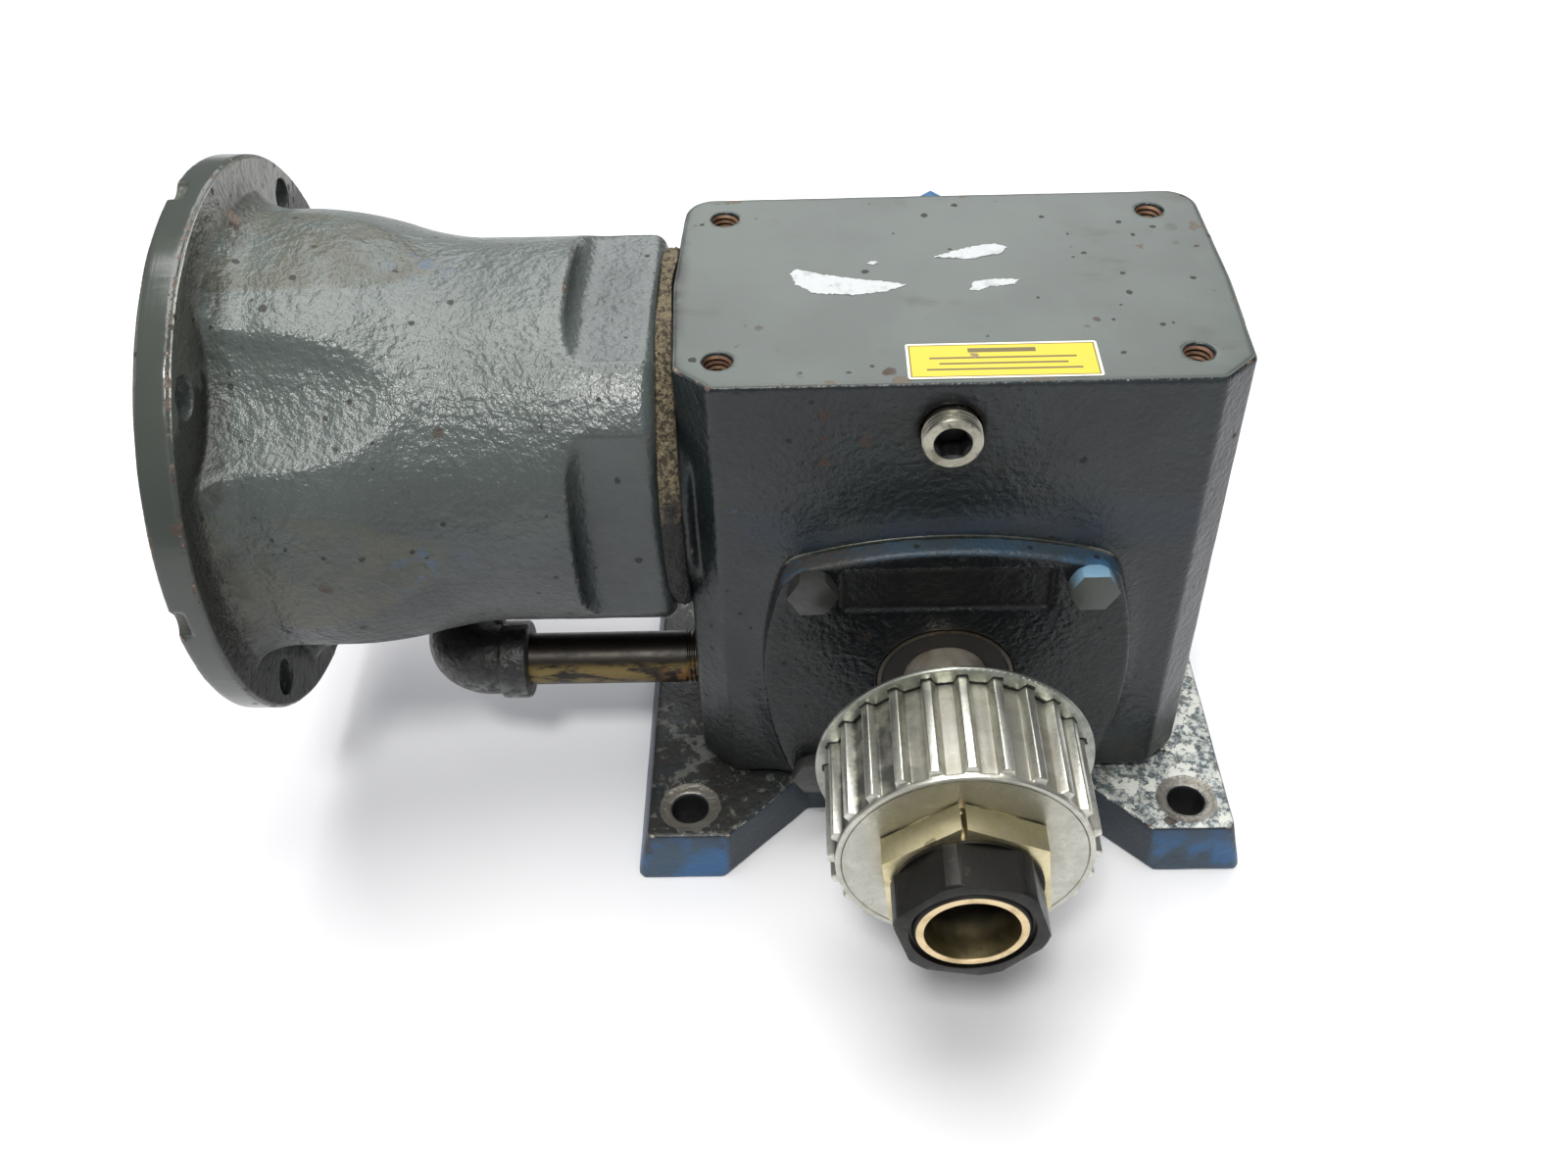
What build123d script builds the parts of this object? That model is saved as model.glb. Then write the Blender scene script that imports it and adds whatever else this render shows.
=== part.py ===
from build123d import *
import os
from math import acos, cos, degrees, pi, radians, sin, tan

os.makedirs("parts", exist_ok=True)

# A right angle worm gear reducer with a C-face motor adapter and a foot base.
# Millimetres, +Z up. The origin is the centre of the base's bolt pattern on its underside.
# The output shaft lies along Y and leaves at -Y. The worm lies along X, above the output
# shaft, and the motor face looks towards -X.

# ---- driving dimensions ---------------------------------------------------------------

# gear pair
MODULE = 2.5
WHEEL_TEETH = 30
CENTRE_DISTANCE = 52.39
PRESSURE_ANGLE = 20.0
BACKLASH = 0.5
OUTPUT_Z = 75.1
WORM_Z = OUTPUT_Z + CENTRE_DISTANCE
WHEEL_PITCH_R = MODULE * WHEEL_TEETH / 2
WORM_PITCH_R = CENTRE_DISTANCE - WHEEL_PITCH_R
WORM_PITCH = pi * MODULE
LEAD_SLOPE = WORM_PITCH / (2 * pi * WORM_PITCH_R)
WORM_ROOT_R = WORM_PITCH_R - 1.2 * MODULE
WORM_TIP_R = WORM_PITCH_R + MODULE
WORM_TURNS = 6
WHEEL_FACE = 22.0
WHEEL_HUB_R = 29.0

# base plate
BASE_T = 19.6
BASE_FOOT_X = 98.9
BASE_FOOT_Y = 76.25
BASE_DRAFT_X = 4.4
BASE_DRAFT_Y = 2.05
BASE_HOLE_X = 162.0
BASE_HOLE_Y = 124.0
BASE_HOLE_R = 5.75
SPOTFACE_R = 9.6

# housing
HOUSING_TOP = 177.8
HOUSING_HALF_Y = 50.0
HOUSING_HALF_X = 78.5
HOUSING_END_X = 76.3
HOUSING_RIGHT_X = 80.7
HOUSING_RIGHT_END_X = 79.2
CORNER = 9.7
TAPPED_X = 128.4
TAPPED_Y = 75.2
TAPPED_R = 3.97
WALL = 9.5
CAVITY_X = HOUSING_HALF_X - 12.5
CAVITY_Y = HOUSING_HALF_Y - WALL
CAVITY_BOTTOM = BASE_T + 10.4
CAVITY_TOP = HOUSING_TOP - 10.0
PILLAR_R = 11.0
PLUG_THREAD_R = 8.0
FILLER_X = -1.9
FILLER_Z = 162.4
VENT_Z = 163.5

# covers on the output axis
COVER_HALF_W = 55.0
COVER_HALF_H = 51.6
COVER_CORNER_X = 47.4
COVER_CORNER_Z = 43.6
COVER_CORNER_R = 9.0
PAD_Y = 52.0
GASKET_T = 0.4
COVER_BACK = PAD_Y + GASKET_T
COVER_FACE = 59.3
COVER_BOLT_AT = 39.8
COVER_BOLT_R = 3.97
OPENING_R = 44.0
SPIGOT_R = 43.9
SPIGOT_END = 24.0

# shafts and bearings
OUTPUT_R = 12.7
WHEEL_SEAT_R = 15.0
OUTPUT_END = 128.0
BEARING_WIDTH = 16.0
BEARING_R = 31.0
INPUT_R = 7.9375
SEAL_R = 20.6

# motor adapter
MOTOR_FACE_X = -212.6
FLANGE_BACK_X = -202.4
FLANGE_R = 84.14
MOTOR_PCD = 149.2
MOTOR_HOLE_R = 5.55
PILOT_R = 57.15
PILOT_DEPTH = 5.0
ADAPTER_END_X = -81.7
ADAPTER_R = 58.5
FLAT_AT = 48.0
POCKET_X = -106.5
POCKET_BLEND = 6.0
SCALLOP_R = 37.0
SCALLOP_AT = 97.3
ADAPTER_BOLT_AT = 35.0
BOSS_R = 49.0

# belt pulley and its keyless bushing
PULLEY_TEETH = 24
PULLEY_TIP_R = 37.3
PULLEY_ROOT_R = 34.6
PULLEY_BACK = 93.1
PULLEY_FRONT = 126.6
BUSHING_R = 22.2
HEX_RING_FACE = 135.0
NUT_BACK = 136.0
NUT_FACE = 149.3

# drain pipe
PIPE_Y = -23.5
PIPE_Z = 50.7
PIPE_R = 8.57
PIPE_THREAD_R = 8.1
ELBOW_X = -157.7
ELBOW_REACH = 24.6


# ---- planes and shared shapes ---------------------------------------------------------


def facing_front(y, z=OUTPUT_Z):
    """Plane at depth y whose normal points to -Y, centred on the output axis."""
    return Plane(origin=(0, y, z), x_dir=(1, 0, 0), z_dir=(0, -1, 0))


def facing_filler(y):
    """Plane at depth y whose normal points to -Y, centred on the filler plug."""
    return Plane(origin=(FILLER_X, y, FILLER_Z), x_dir=(1, 0, 0), z_dir=(0, -1, 0))


def along_worm(x):
    """Plane across the worm axis at x, with its normal towards +X."""
    return Plane(origin=(x, 0, WORM_Z), x_dir=(0, 1, 0), z_dir=(1, 0, 0))


def radial_plane(angle):
    """Plane through the worm axis: local x along the axis, local y outwards."""
    turn = radians(angle)
    return Plane(origin=(0, 0, WORM_Z), x_dir=(1, 0, 0), z_dir=(0, -cos(turn), sin(turn)))


def cover_sketch(y, grow=0.0):
    """Outline of a bearing cover: a square with crowned sides and round corners."""
    half_w = COVER_HALF_W + grow
    half_h = COVER_HALF_H + grow
    corner_x = COVER_CORNER_X + grow
    corner_z = COVER_CORNER_Z + grow
    with BuildSketch(facing_front(y)) as outline:
        with BuildLine():
            ThreePointArc((-corner_x, corner_z), (0, half_h), (corner_x, corner_z))
            ThreePointArc((corner_x, corner_z), (half_w, 0), (corner_x, -corner_z))
            ThreePointArc((corner_x, -corner_z), (0, -half_h), (-corner_x, -corner_z))
            ThreePointArc((-corner_x, -corner_z), (-half_w, 0), (-corner_x, corner_z))
        make_face()
        fillet(outline.vertices(), COVER_CORNER_R + grow)
    return outline.sketch


def tube(plane, inner_r, outer_r, length):
    """Plain ring or sleeve standing on a plane."""
    with BuildPart() as ring:
        with BuildSketch(plane):
            Circle(outer_r)
            if inner_r:
                Circle(inner_r, mode=Mode.SUBTRACT)
        extrude(amount=length)
    return ring.part


def hex_bolt(across_flats, head_h, shank_r, length):
    """Hex head bolt along Z, its head above Z = 0 and its shank below."""
    with BuildPart() as bolt:
        with BuildSketch():
            RegularPolygon(across_flats / 2, 6, major_radius=False)
        extrude(amount=head_h)
        with BuildSketch():
            Circle(across_flats / 2 + 0.15)
        extrude(amount=head_h + 1, taper=-28, mode=Mode.INTERSECT)
        with BuildSketch():
            Circle(shank_r)
        extrude(amount=-length)
        chamfer(bolt.faces().sort_by(Axis.Z)[0].edges(), 0.8)
    return bolt.part


def race(plane, inner_r, outer_r, width, pitch_r, ball_r):
    """Bearing ring with a ball groove, standing on a plane."""
    groove_gap = 0.25
    with BuildPart() as ring:
        with BuildSketch(plane):
            Circle(outer_r)
            Circle(inner_r, mode=Mode.SUBTRACT)
        extrude(amount=width)
        with Locations(plane.offset(width / 2).location):
            Torus(pitch_r, ball_r + groove_gap, mode=Mode.SUBTRACT)
    return ring.part


def balls_in_cage(plane, width, pitch_r, ball_r, count):
    """Bearing balls held by their cage ring, as one solid."""
    half_thickness = 1.1
    cage_width = 1.3 * ball_r
    with BuildPart() as cage:
        with BuildSketch(plane.offset((width - cage_width) / 2)):
            Circle(pitch_r + half_thickness)
            Circle(pitch_r - half_thickness, mode=Mode.SUBTRACT)
        extrude(amount=cage_width)
        with BuildPart(plane.offset(width / 2), mode=Mode.PRIVATE) as balls:
            with PolarLocations(pitch_r, count):
                Sphere(ball_r)
        add(balls.part)
    return cage.part


# ---- base plate and its bolts ---------------------------------------------------------


def base_outline(height, inset_x, inset_y):
    """Plan of the base: four feet with 45 degree notches between them, front and back."""
    foot_x = BASE_FOOT_X - inset_x
    foot_y = BASE_FOOT_Y - inset_y
    notch_x = 42.5
    notch_y = 48.5
    with BuildSketch(Plane.XY.offset(height)) as outline:
        with BuildLine():
            Polyline(
                (0, notch_y),
                (notch_x, notch_y),
                (notch_x + foot_y - notch_y, foot_y),
                (foot_x, foot_y),
                (foot_x, 0),
            )
            mirror(about=Plane.YZ)
            mirror(about=Plane.XZ)
        make_face()
        fillet(outline.vertices().group_by(SortBy.DISTANCE)[-1], 3)
    return outline.sketch


with BuildPart() as base:
    loft([base_outline(0, 0, 0), base_outline(BASE_T, BASE_DRAFT_X, BASE_DRAFT_Y)], ruled=True)
    with BuildSketch():
        RectangleRounded(104, 62, 10)
    extrude(amount=6, mode=Mode.SUBTRACT)
    with Locations((0, 0, BASE_T)):
        with GridLocations(BASE_HOLE_X, BASE_HOLE_Y, 2, 2):
            CounterBoreHole(BASE_HOLE_R, SPOTFACE_R, 0.6)
    with Locations(Location((0, 0, 0), (180, 0, 0))):
        with GridLocations(TAPPED_X, TAPPED_Y, 2, 2):
            CounterBoreHole(5.1, 10.5, 8.5)

base.part.label = "base"
export_step(base.part, "parts/base.step")

base_bolt = hex_bolt(14.3, 6.2, 4.76, 25.0)
with BuildPart() as base_bolts:
    with Locations(Location((0, 0, 8.5), (180, 0, 0))):
        with GridLocations(TAPPED_X, TAPPED_Y, 2, 2):
            add(base_bolt)

base_bolts.part.label = "base_bolts"
export_step(base_bolts.part, "parts/base_bolts.step")


# ---- housing --------------------------------------------------------------------------

INPUT_SEAT_R = 26.0
INPUT_SEAT_X = -50.0
BLIND_SEAT_R = 23.5
BLIND_SEAT_END_X = 66.0
RING_GROOVE_X = -67.2
BOSS_FACE_X = ADAPTER_END_X + 3.0

with BuildPart() as housing:
    with BuildSketch(Plane.XY.offset(BASE_T)) as plan:
        with BuildLine():
            Polyline(
                (-HOUSING_END_X, -HOUSING_HALF_Y),
                (HOUSING_RIGHT_END_X, -HOUSING_HALF_Y),
                (HOUSING_RIGHT_X, 0),
                (HOUSING_RIGHT_END_X, HOUSING_HALF_Y),
                (-HOUSING_END_X, HOUSING_HALF_Y),
                (-HOUSING_HALF_X, 0),
                close=True,
            )
        make_face()
        chamfer(plan.vertices().group_by(Axis.Y)[0], CORNER)
        fillet(plan.vertices().group_by(Axis.Y)[-1], CORNER)
    extrude(amount=HOUSING_TOP - BASE_T)
    fillet(housing.edges().group_by(Axis.Z)[0], 6)
    chamfer(housing.edges().group_by(Axis.Z)[-1], 0.8)

    # low pads under the two covers, running out into the faces
    for side in (-1, 1):
        levels = ((HOUSING_HALF_Y, 9.0), (HOUSING_HALF_Y + 0.5, 4.5), (PAD_Y, 0.6))
        loft([cover_sketch(side * y, grow) for y, grow in levels], ruled=True)

    # round boss that the adapter seats on
    with BuildSketch(along_worm(BOSS_FACE_X)):
        Circle(BOSS_R)
    extrude(amount=5)

    # gear cavity, with a pillar at each corner for the top and bottom bolts
    with BuildSketch(Plane.XY.offset(CAVITY_BOTTOM)):
        RectangleRounded(2 * CAVITY_X, 2 * CAVITY_Y, 8)
        with GridLocations(TAPPED_X, TAPPED_Y, 2, 2):
            Circle(PILLAR_R, mode=Mode.SUBTRACT)
    extrude(amount=CAVITY_TOP - CAVITY_BOTTOM, mode=Mode.SUBTRACT)

    # bearing bosses inside the end walls
    with BuildSketch(along_worm(-CAVITY_X - 1)):
        Circle(33)
    extrude(amount=CAVITY_X + 1 - 46)
    with BuildSketch(along_worm(46)):
        Circle(30)
    extrude(amount=CAVITY_X + 1 - 46)

    # cover openings
    with BuildSketch(facing_front(0)):
        Circle(OPENING_R)
    extrude(amount=PAD_Y + 1, both=True, mode=Mode.SUBTRACT)

    # worm bearing seats, retaining ring groove and worm passage
    with BuildSketch(along_worm(BOSS_FACE_X)):
        Circle(INPUT_SEAT_R)
    extrude(amount=INPUT_SEAT_X - BOSS_FACE_X, mode=Mode.SUBTRACT)
    with BuildSketch(along_worm(RING_GROOVE_X)):
        Circle(INPUT_SEAT_R + 1.5)
    extrude(amount=2, mode=Mode.SUBTRACT)
    with BuildSketch(along_worm(INPUT_SEAT_X)):
        Circle(22)
    extrude(amount=6, mode=Mode.SUBTRACT)
    with BuildSketch(along_worm(45)):
        Circle(BLIND_SEAT_R)
    extrude(amount=BLIND_SEAT_END_X - 45, mode=Mode.SUBTRACT)

    # tapped holes in the top and the bottom
    with Locations((0, 0, HOUSING_TOP)):
        with GridLocations(TAPPED_X, TAPPED_Y, 2, 2):
            Hole(TAPPED_R, 18)
    with Locations(Location((0, 0, BASE_T), (180, 0, 0))):
        with GridLocations(TAPPED_X, TAPPED_Y, 2, 2):
            Hole(4.76, 18)

    # tapped holes for both covers and for the adapter
    for side in (-1, 1):
        with Locations(facing_front(side * PAD_Y).location):
            with GridLocations(2 * COVER_BOLT_AT, 2 * COVER_BOLT_AT, 2, 2):
                Cylinder(COVER_BOLT_R, 2 * 13, mode=Mode.SUBTRACT)
    with Locations(along_worm(BOSS_FACE_X).location):
        with PolarLocations(ADAPTER_BOLT_AT, 4, start_angle=45):
            Cylinder(COVER_BOLT_R, 2 * 14, mode=Mode.SUBTRACT)

    # pipe taps: filler at the front, vent at the back, drain low on the left
    with Locations(facing_filler(-HOUSING_HALF_Y).location):
        Cylinder(PLUG_THREAD_R, 2 * 14, mode=Mode.SUBTRACT)
    with Locations(facing_front(HOUSING_HALF_Y, VENT_Z).location):
        Cylinder(PLUG_THREAD_R, 2 * 14, mode=Mode.SUBTRACT)
    with Locations(Location((-HOUSING_HALF_X, PIPE_Y, PIPE_Z), (0, 90, 0))):
        Cylinder(PIPE_THREAD_R, 2 * 18, mode=Mode.SUBTRACT)

housing.part.label = "housing"
export_step(housing.part, "parts/housing.step")


# ---- output cover and rear cover ------------------------------------------------------

BEARING_END = SPIGOT_END + BEARING_WIDTH
SEAL_BACK = 51.0

with BuildPart() as output_cover:
    extrude(cover_sketch(-COVER_BACK), amount=COVER_FACE - COVER_BACK)
    fillet(output_cover.faces().sort_by(Axis.Y)[0].edges(), 1.4)
    with BuildSketch(facing_front(-SPIGOT_END)):
        Circle(SPIGOT_R)
    extrude(amount=COVER_BACK - SPIGOT_END)
    with BuildSketch(facing_front(-SPIGOT_END)):
        Circle(BEARING_R)
    extrude(amount=BEARING_WIDTH, mode=Mode.SUBTRACT)
    with BuildSketch(facing_front(-BEARING_END)):
        Circle(17)
    extrude(amount=SEAL_BACK - BEARING_END, mode=Mode.SUBTRACT)
    with BuildSketch(facing_front(-SEAL_BACK)):
        Circle(SEAL_R)
    extrude(amount=COVER_FACE - SEAL_BACK, mode=Mode.SUBTRACT)
    # plain recessed panel above the seal
    with BuildSketch(facing_front(-COVER_FACE, 111.9)):
        with Locations((-1.4, 0)):
            RectangleRounded(60.9, 15.7, 1)
    extrude(amount=-1.3, mode=Mode.SUBTRACT)
    with Locations(facing_front(-COVER_FACE).location):
        with GridLocations(2 * COVER_BOLT_AT, 2 * COVER_BOLT_AT, 2, 2):
            Hole(4.3, 12)

output_cover.part.label = "output_cover"
export_step(output_cover.part, "parts/output_cover.step")

with BuildPart() as rear_cover:
    extrude(cover_sketch(COVER_FACE), amount=COVER_FACE - COVER_BACK)
    fillet(rear_cover.faces().sort_by(Axis.Y)[-1].edges(), 1.4)
    with BuildSketch(facing_front(COVER_BACK)):
        Circle(SPIGOT_R)
    extrude(amount=COVER_BACK - SPIGOT_END)
    with BuildSketch(facing_front(BEARING_END)):
        Circle(BEARING_R)
    extrude(amount=BEARING_WIDTH, mode=Mode.SUBTRACT)
    with BuildSketch(facing_front(BEARING_END + 4)):
        Circle(20)
    extrude(amount=4, mode=Mode.SUBTRACT)
    with Locations(facing_front(COVER_FACE).location):
        with GridLocations(2 * COVER_BOLT_AT, 2 * COVER_BOLT_AT, 2, 2):
            Hole(4.3, 12)

rear_cover.part.label = "rear_cover"
export_step(rear_cover.part, "parts/rear_cover.step")

cover_bolt = hex_bolt(12.7, 5.2, COVER_BOLT_R, 18.5)
cover_sides = (("output_cover", -1, 90), ("rear_cover", 1, -90))
for cover_name, side, head_turn in cover_sides:
    with BuildPart() as cover_gasket:
        extrude(cover_sketch(side * PAD_Y, 0.35), amount=-side * GASKET_T)
        with Locations(facing_front(side * PAD_Y).location):
            Cylinder(OPENING_R, 4, mode=Mode.SUBTRACT)
            with GridLocations(2 * COVER_BOLT_AT, 2 * COVER_BOLT_AT, 2, 2):
                Cylinder(4.3, 4, mode=Mode.SUBTRACT)
    cover_gasket.part.label = cover_name + "_gasket"
    export_step(cover_gasket.part, f"parts/{cover_name}_gasket.step")

    with BuildPart() as cover_bolts:
        with Locations(Location((0, side * COVER_FACE, OUTPUT_Z), (head_turn, 0, 0))):
            with GridLocations(2 * COVER_BOLT_AT, 2 * COVER_BOLT_AT, 2, 2):
                add(cover_bolt)
    cover_bolts.part.label = cover_name + "_bolts"
    export_step(cover_bolts.part, f"parts/{cover_name}_bolts.step")


# ---- motor adapter --------------------------------------------------------------------

with BuildPart() as motor_adapter:
    with BuildSketch(radial_plane(0)):
        with BuildLine():
            Polyline(
                (MOTOR_FACE_X, PILOT_R),
                (MOTOR_FACE_X, FLANGE_R - 0.8),
                (MOTOR_FACE_X + 0.8, FLANGE_R),
                (FLANGE_BACK_X - 0.8, FLANGE_R),
                (FLANGE_BACK_X, FLANGE_R - 0.8),
                (FLANGE_BACK_X, 78.0),
            )
            ThreePointArc((FLANGE_BACK_X, 78.0), (-199.3, 71.1), (-190, 68.2))
            ThreePointArc((-190, 68.2), (-174, 67.0), (-158, 62.9))
            ThreePointArc((-158, 62.9), (-146, 59.6), (-132, ADAPTER_R))
            Polyline(
                (-132, ADAPTER_R),
                (ADAPTER_END_X, ADAPTER_R),
                (ADAPTER_END_X, 27),
                (-95, 27),
                (-95, 43),
                (-125, 43),
                (-185, 52),
                (MOTOR_FACE_X + PILOT_DEPTH, 52),
                (MOTOR_FACE_X + PILOT_DEPTH, PILOT_R),
                (MOTOR_FACE_X, PILOT_R),
            )
        make_face()
    revolve(axis=Axis((0, 0, WORM_Z), (1, 0, 0)))

    # four flat pockets at the gearbox end
    for angle in (0, 90, 180, 270):
        with BuildSketch(radial_plane(angle)):
            with BuildLine():
                Polyline(
                    (POCKET_X + POCKET_BLEND, FLAT_AT),
                    (ADAPTER_END_X + 5, FLAT_AT),
                    (ADAPTER_END_X + 5, ADAPTER_R + 8),
                    (POCKET_X, ADAPTER_R + 8),
                    (POCKET_X, FLAT_AT + POCKET_BLEND),
                )
                RadiusArc(
                    (POCKET_X, FLAT_AT + POCKET_BLEND),
                    (POCKET_X + POCKET_BLEND, FLAT_AT),
                    -POCKET_BLEND,
                )
            make_face()
        extrude(amount=45, both=True, mode=Mode.SUBTRACT)
    end_edges = motor_adapter.faces().filter_by(Axis.X).sort_by(Axis.X)[-1].outer_wire().edges()
    fillet(end_edges, 4)

    # four scallops that give the motor bolts room
    with BuildSketch(along_worm(FLANGE_BACK_X)):
        with PolarLocations(SCALLOP_AT, 4, start_angle=45):
            Circle(SCALLOP_R)
    extrude(amount=70, mode=Mode.SUBTRACT)

    # motor bolt holes and the pry notches in the rim
    with BuildSketch(along_worm(MOTOR_FACE_X)):
        with PolarLocations(MOTOR_PCD / 2, 4, start_angle=45):
            Circle(MOTOR_HOLE_R)
    extrude(amount=FLANGE_BACK_X - MOTOR_FACE_X, mode=Mode.SUBTRACT)
    with BuildSketch(along_worm(MOTOR_FACE_X)):
        with PolarLocations(FLANGE_R + 3.5, 4):
            Circle(6)
    extrude(amount=4.4, mode=Mode.SUBTRACT)

    # bolt holes in the end wall
    with Locations(along_worm(ADAPTER_END_X).location):
        with PolarLocations(ADAPTER_BOLT_AT, 4, start_angle=45):
            Cylinder(4.3, 40, mode=Mode.SUBTRACT)

motor_adapter.part.label = "motor_adapter"
export_step(motor_adapter.part, "parts/motor_adapter.step")

with BuildPart() as adapter_gasket:
    with BuildSketch(along_worm(ADAPTER_END_X)):
        Circle(BOSS_R)
        Circle(27, mode=Mode.SUBTRACT)
        with PolarLocations(ADAPTER_BOLT_AT, 4, start_angle=45):
            Circle(4.3, mode=Mode.SUBTRACT)
    extrude(amount=BOSS_FACE_X - ADAPTER_END_X)

adapter_gasket.part.label = "adapter_gasket"
export_step(adapter_gasket.part, "parts/adapter_gasket.step")

adapter_bolt = hex_bolt(12.7, 5.2, COVER_BOLT_R, 29.0)
with BuildPart() as adapter_bolts:
    with Locations(Location((-95, 0, WORM_Z), (0, -90, 0))):
        with PolarLocations(ADAPTER_BOLT_AT, 4, start_angle=45):
            add(adapter_bolt)

adapter_bolts.part.label = "adapter_bolts"
export_step(adapter_bolts.part, "parts/adapter_bolts.step")


# ---- worm wheel -----------------------------------------------------------------------

BASE_CIRCLE_R = WHEEL_PITCH_R * cos(radians(PRESSURE_ANGLE))
WHEEL_TIP_R = WHEEL_PITCH_R + MODULE
WHEEL_ROOT_R = WHEEL_PITCH_R - 1.2 * MODULE


def involute_lag(radius):
    """Involute function of the pressure angle at a radius, in radians."""
    angle = acos(min(1.0, BASE_CIRCLE_R / radius))
    return tan(angle) - angle


def flank_angle(radius):
    """Half of the angle that one wheel tooth spans at a radius, in radians."""
    return pi / (2 * WHEEL_TEETH) + involute_lag(WHEEL_PITCH_R) - involute_lag(radius)


def around(radius, angle):
    """Point of the wheel's section at an angle from the top, in radians."""
    return (radius * sin(angle), radius * cos(angle))


def wheel_section(y):
    """Toothed section of the wheel at depth y, turned to follow the worm's lead."""
    lead_turn = degrees(LEAD_SLOPE * y / WHEEL_PITCH_R)
    pitch_angle = 2 * pi / WHEEL_TEETH
    plane = facing_front(y).rotated((0, 0, -lead_turn))
    with BuildSketch(plane) as section:
        with BuildLine():
            for tooth in range(WHEEL_TEETH):
                middle = tooth * pitch_angle
                low, high = WHEEL_ROOT_R, WHEEL_TIP_R
                root_half, tip_half = flank_angle(low), flank_angle(high)
                pitch_half = flank_angle(WHEEL_PITCH_R)
                for hand in (-1, 1):
                    ThreePointArc(
                        around(low, middle + hand * root_half),
                        around(WHEEL_PITCH_R, middle + hand * pitch_half),
                        around(high, middle + hand * tip_half),
                    )
                Line(around(high, middle - tip_half), around(high, middle + tip_half))
                next_root = middle + pitch_angle - root_half
                Line(around(low, middle + root_half), around(low, next_root))
        make_face()
    return section.sketch


with BuildPart() as worm_wheel:
    loft([wheel_section(-WHEEL_FACE / 2), wheel_section(WHEEL_FACE / 2)], ruled=True)
    with BuildSketch(facing_front(0)):
        Circle(WHEEL_HUB_R)
    extrude(amount=WHEEL_FACE, both=True, mode=Mode.SUBTRACT)

worm_wheel.part.label = "worm_wheel"
export_step(worm_wheel.part, "parts/worm_wheel.step")

HUB_HALF = 16.0
KEY_WIDTH = 8.0
KEY_BOTTOM = OUTPUT_Z + 11.0
KEY_TOP = OUTPUT_Z + 18.0


def wheel_key_shape(length):
    """Parallel key over the output shaft, centred on the wheel."""
    with BuildPart() as key:
        with BuildSketch(Plane.XY.offset(KEY_BOTTOM)):
            Rectangle(KEY_WIDTH, length)
        extrude(amount=KEY_TOP - KEY_BOTTOM)
    return key.part


with BuildPart() as wheel_hub:
    with BuildSketch(facing_front(0)):
        Circle(WHEEL_HUB_R)
        Circle(WHEEL_SEAT_R, mode=Mode.SUBTRACT)
    extrude(amount=WHEEL_FACE / 2, both=True)
    with BuildSketch(facing_front(0)):
        Circle(21)
        Circle(WHEEL_SEAT_R, mode=Mode.SUBTRACT)
    extrude(amount=HUB_HALF, both=True)
    add(wheel_key_shape(3 * HUB_HALF), mode=Mode.SUBTRACT)

wheel_hub.part.label = "wheel_hub"
export_step(wheel_hub.part, "parts/wheel_hub.step")

KEY_LENGTH = 28.0
with BuildPart() as wheel_key:
    add(wheel_key_shape(KEY_LENGTH))

wheel_key.part.label = "wheel_key"
export_step(wheel_key.part, "parts/wheel_key.step")


# ---- output shaft and its bearings ----------------------------------------------------

with BuildPart() as output_shaft:
    with BuildSketch(facing_front(-46.5)):
        Circle(OUTPUT_R)
    extrude(amount=OUTPUT_END - 46.5)
    chamfer(output_shaft.faces().sort_by(Axis.Y)[0].edges(), 1.2)
    with BuildSketch(facing_front(BEARING_END + 2)):
        Circle(WHEEL_SEAT_R)
    extrude(amount=BEARING_END + 2 + 46.5)
    chamfer(output_shaft.faces().sort_by(Axis.Y)[-1].edges(), 1.2)
    add(wheel_key_shape(KEY_LENGTH), mode=Mode.SUBTRACT)

output_shaft.part.label = "output_shaft"
export_step(output_shaft.part, "parts/output_shaft.step")

for end_name, side in (("front", -1), ("rear", 1)):
    spacer_plane = facing_front(side * HUB_HALF)
    wheel_spacer = tube(spacer_plane, WHEEL_SEAT_R, 19.0, -side * (SPIGOT_END - HUB_HALF - 1))
    wheel_spacer.label = end_name + "_wheel_spacer"
    export_step(wheel_spacer, f"parts/{end_name}_wheel_spacer.step")

# name, plane of one face, bore radius, outer radius, width, ball radius, ball count
BEARINGS = (
    ("output_front", facing_front(-SPIGOT_END), 15.0, 31.0, 16.0, 4.76, 9),
    ("output_rear", facing_front(BEARING_END), 15.0, 31.0, 16.0, 4.76, 9),
    ("worm_input", along_worm(-65.0), 12.5, 26.0, 15.0, 3.97, 9),
    ("worm_blind", along_worm(52.0), 10.0, 23.5, 14.0, 3.97, 8),
)
for bearing_name, plane, bore_r, outer_r, width, ball_r, count in BEARINGS:
    pitch_r = (bore_r + outer_r) / 2
    lip = 0.48 * ball_r
    bearing_pieces = {
        "outer_race": race(plane, pitch_r + lip, outer_r, width, pitch_r, ball_r),
        "inner_race": race(plane, bore_r, pitch_r - lip, width, pitch_r, ball_r),
        "balls": balls_in_cage(plane, width, pitch_r, ball_r, count),
    }
    for piece_name, piece in bearing_pieces.items():
        piece.label = f"{bearing_name}_{piece_name}"
        export_step(piece, f"parts/{bearing_name}_{piece_name}.step")


# ---- worm shaft -----------------------------------------------------------------------

INPUT_END_X = -142.0
COUPLING_KEY = 4.76
KEYWAY_TOP = 10.3
KEYWAY_LENGTH = 21.0
THREAD_HALF = WORM_TURNS * WORM_PITCH / 2
WORM_CORE_HALF = THREAD_HALF + 3.5

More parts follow.
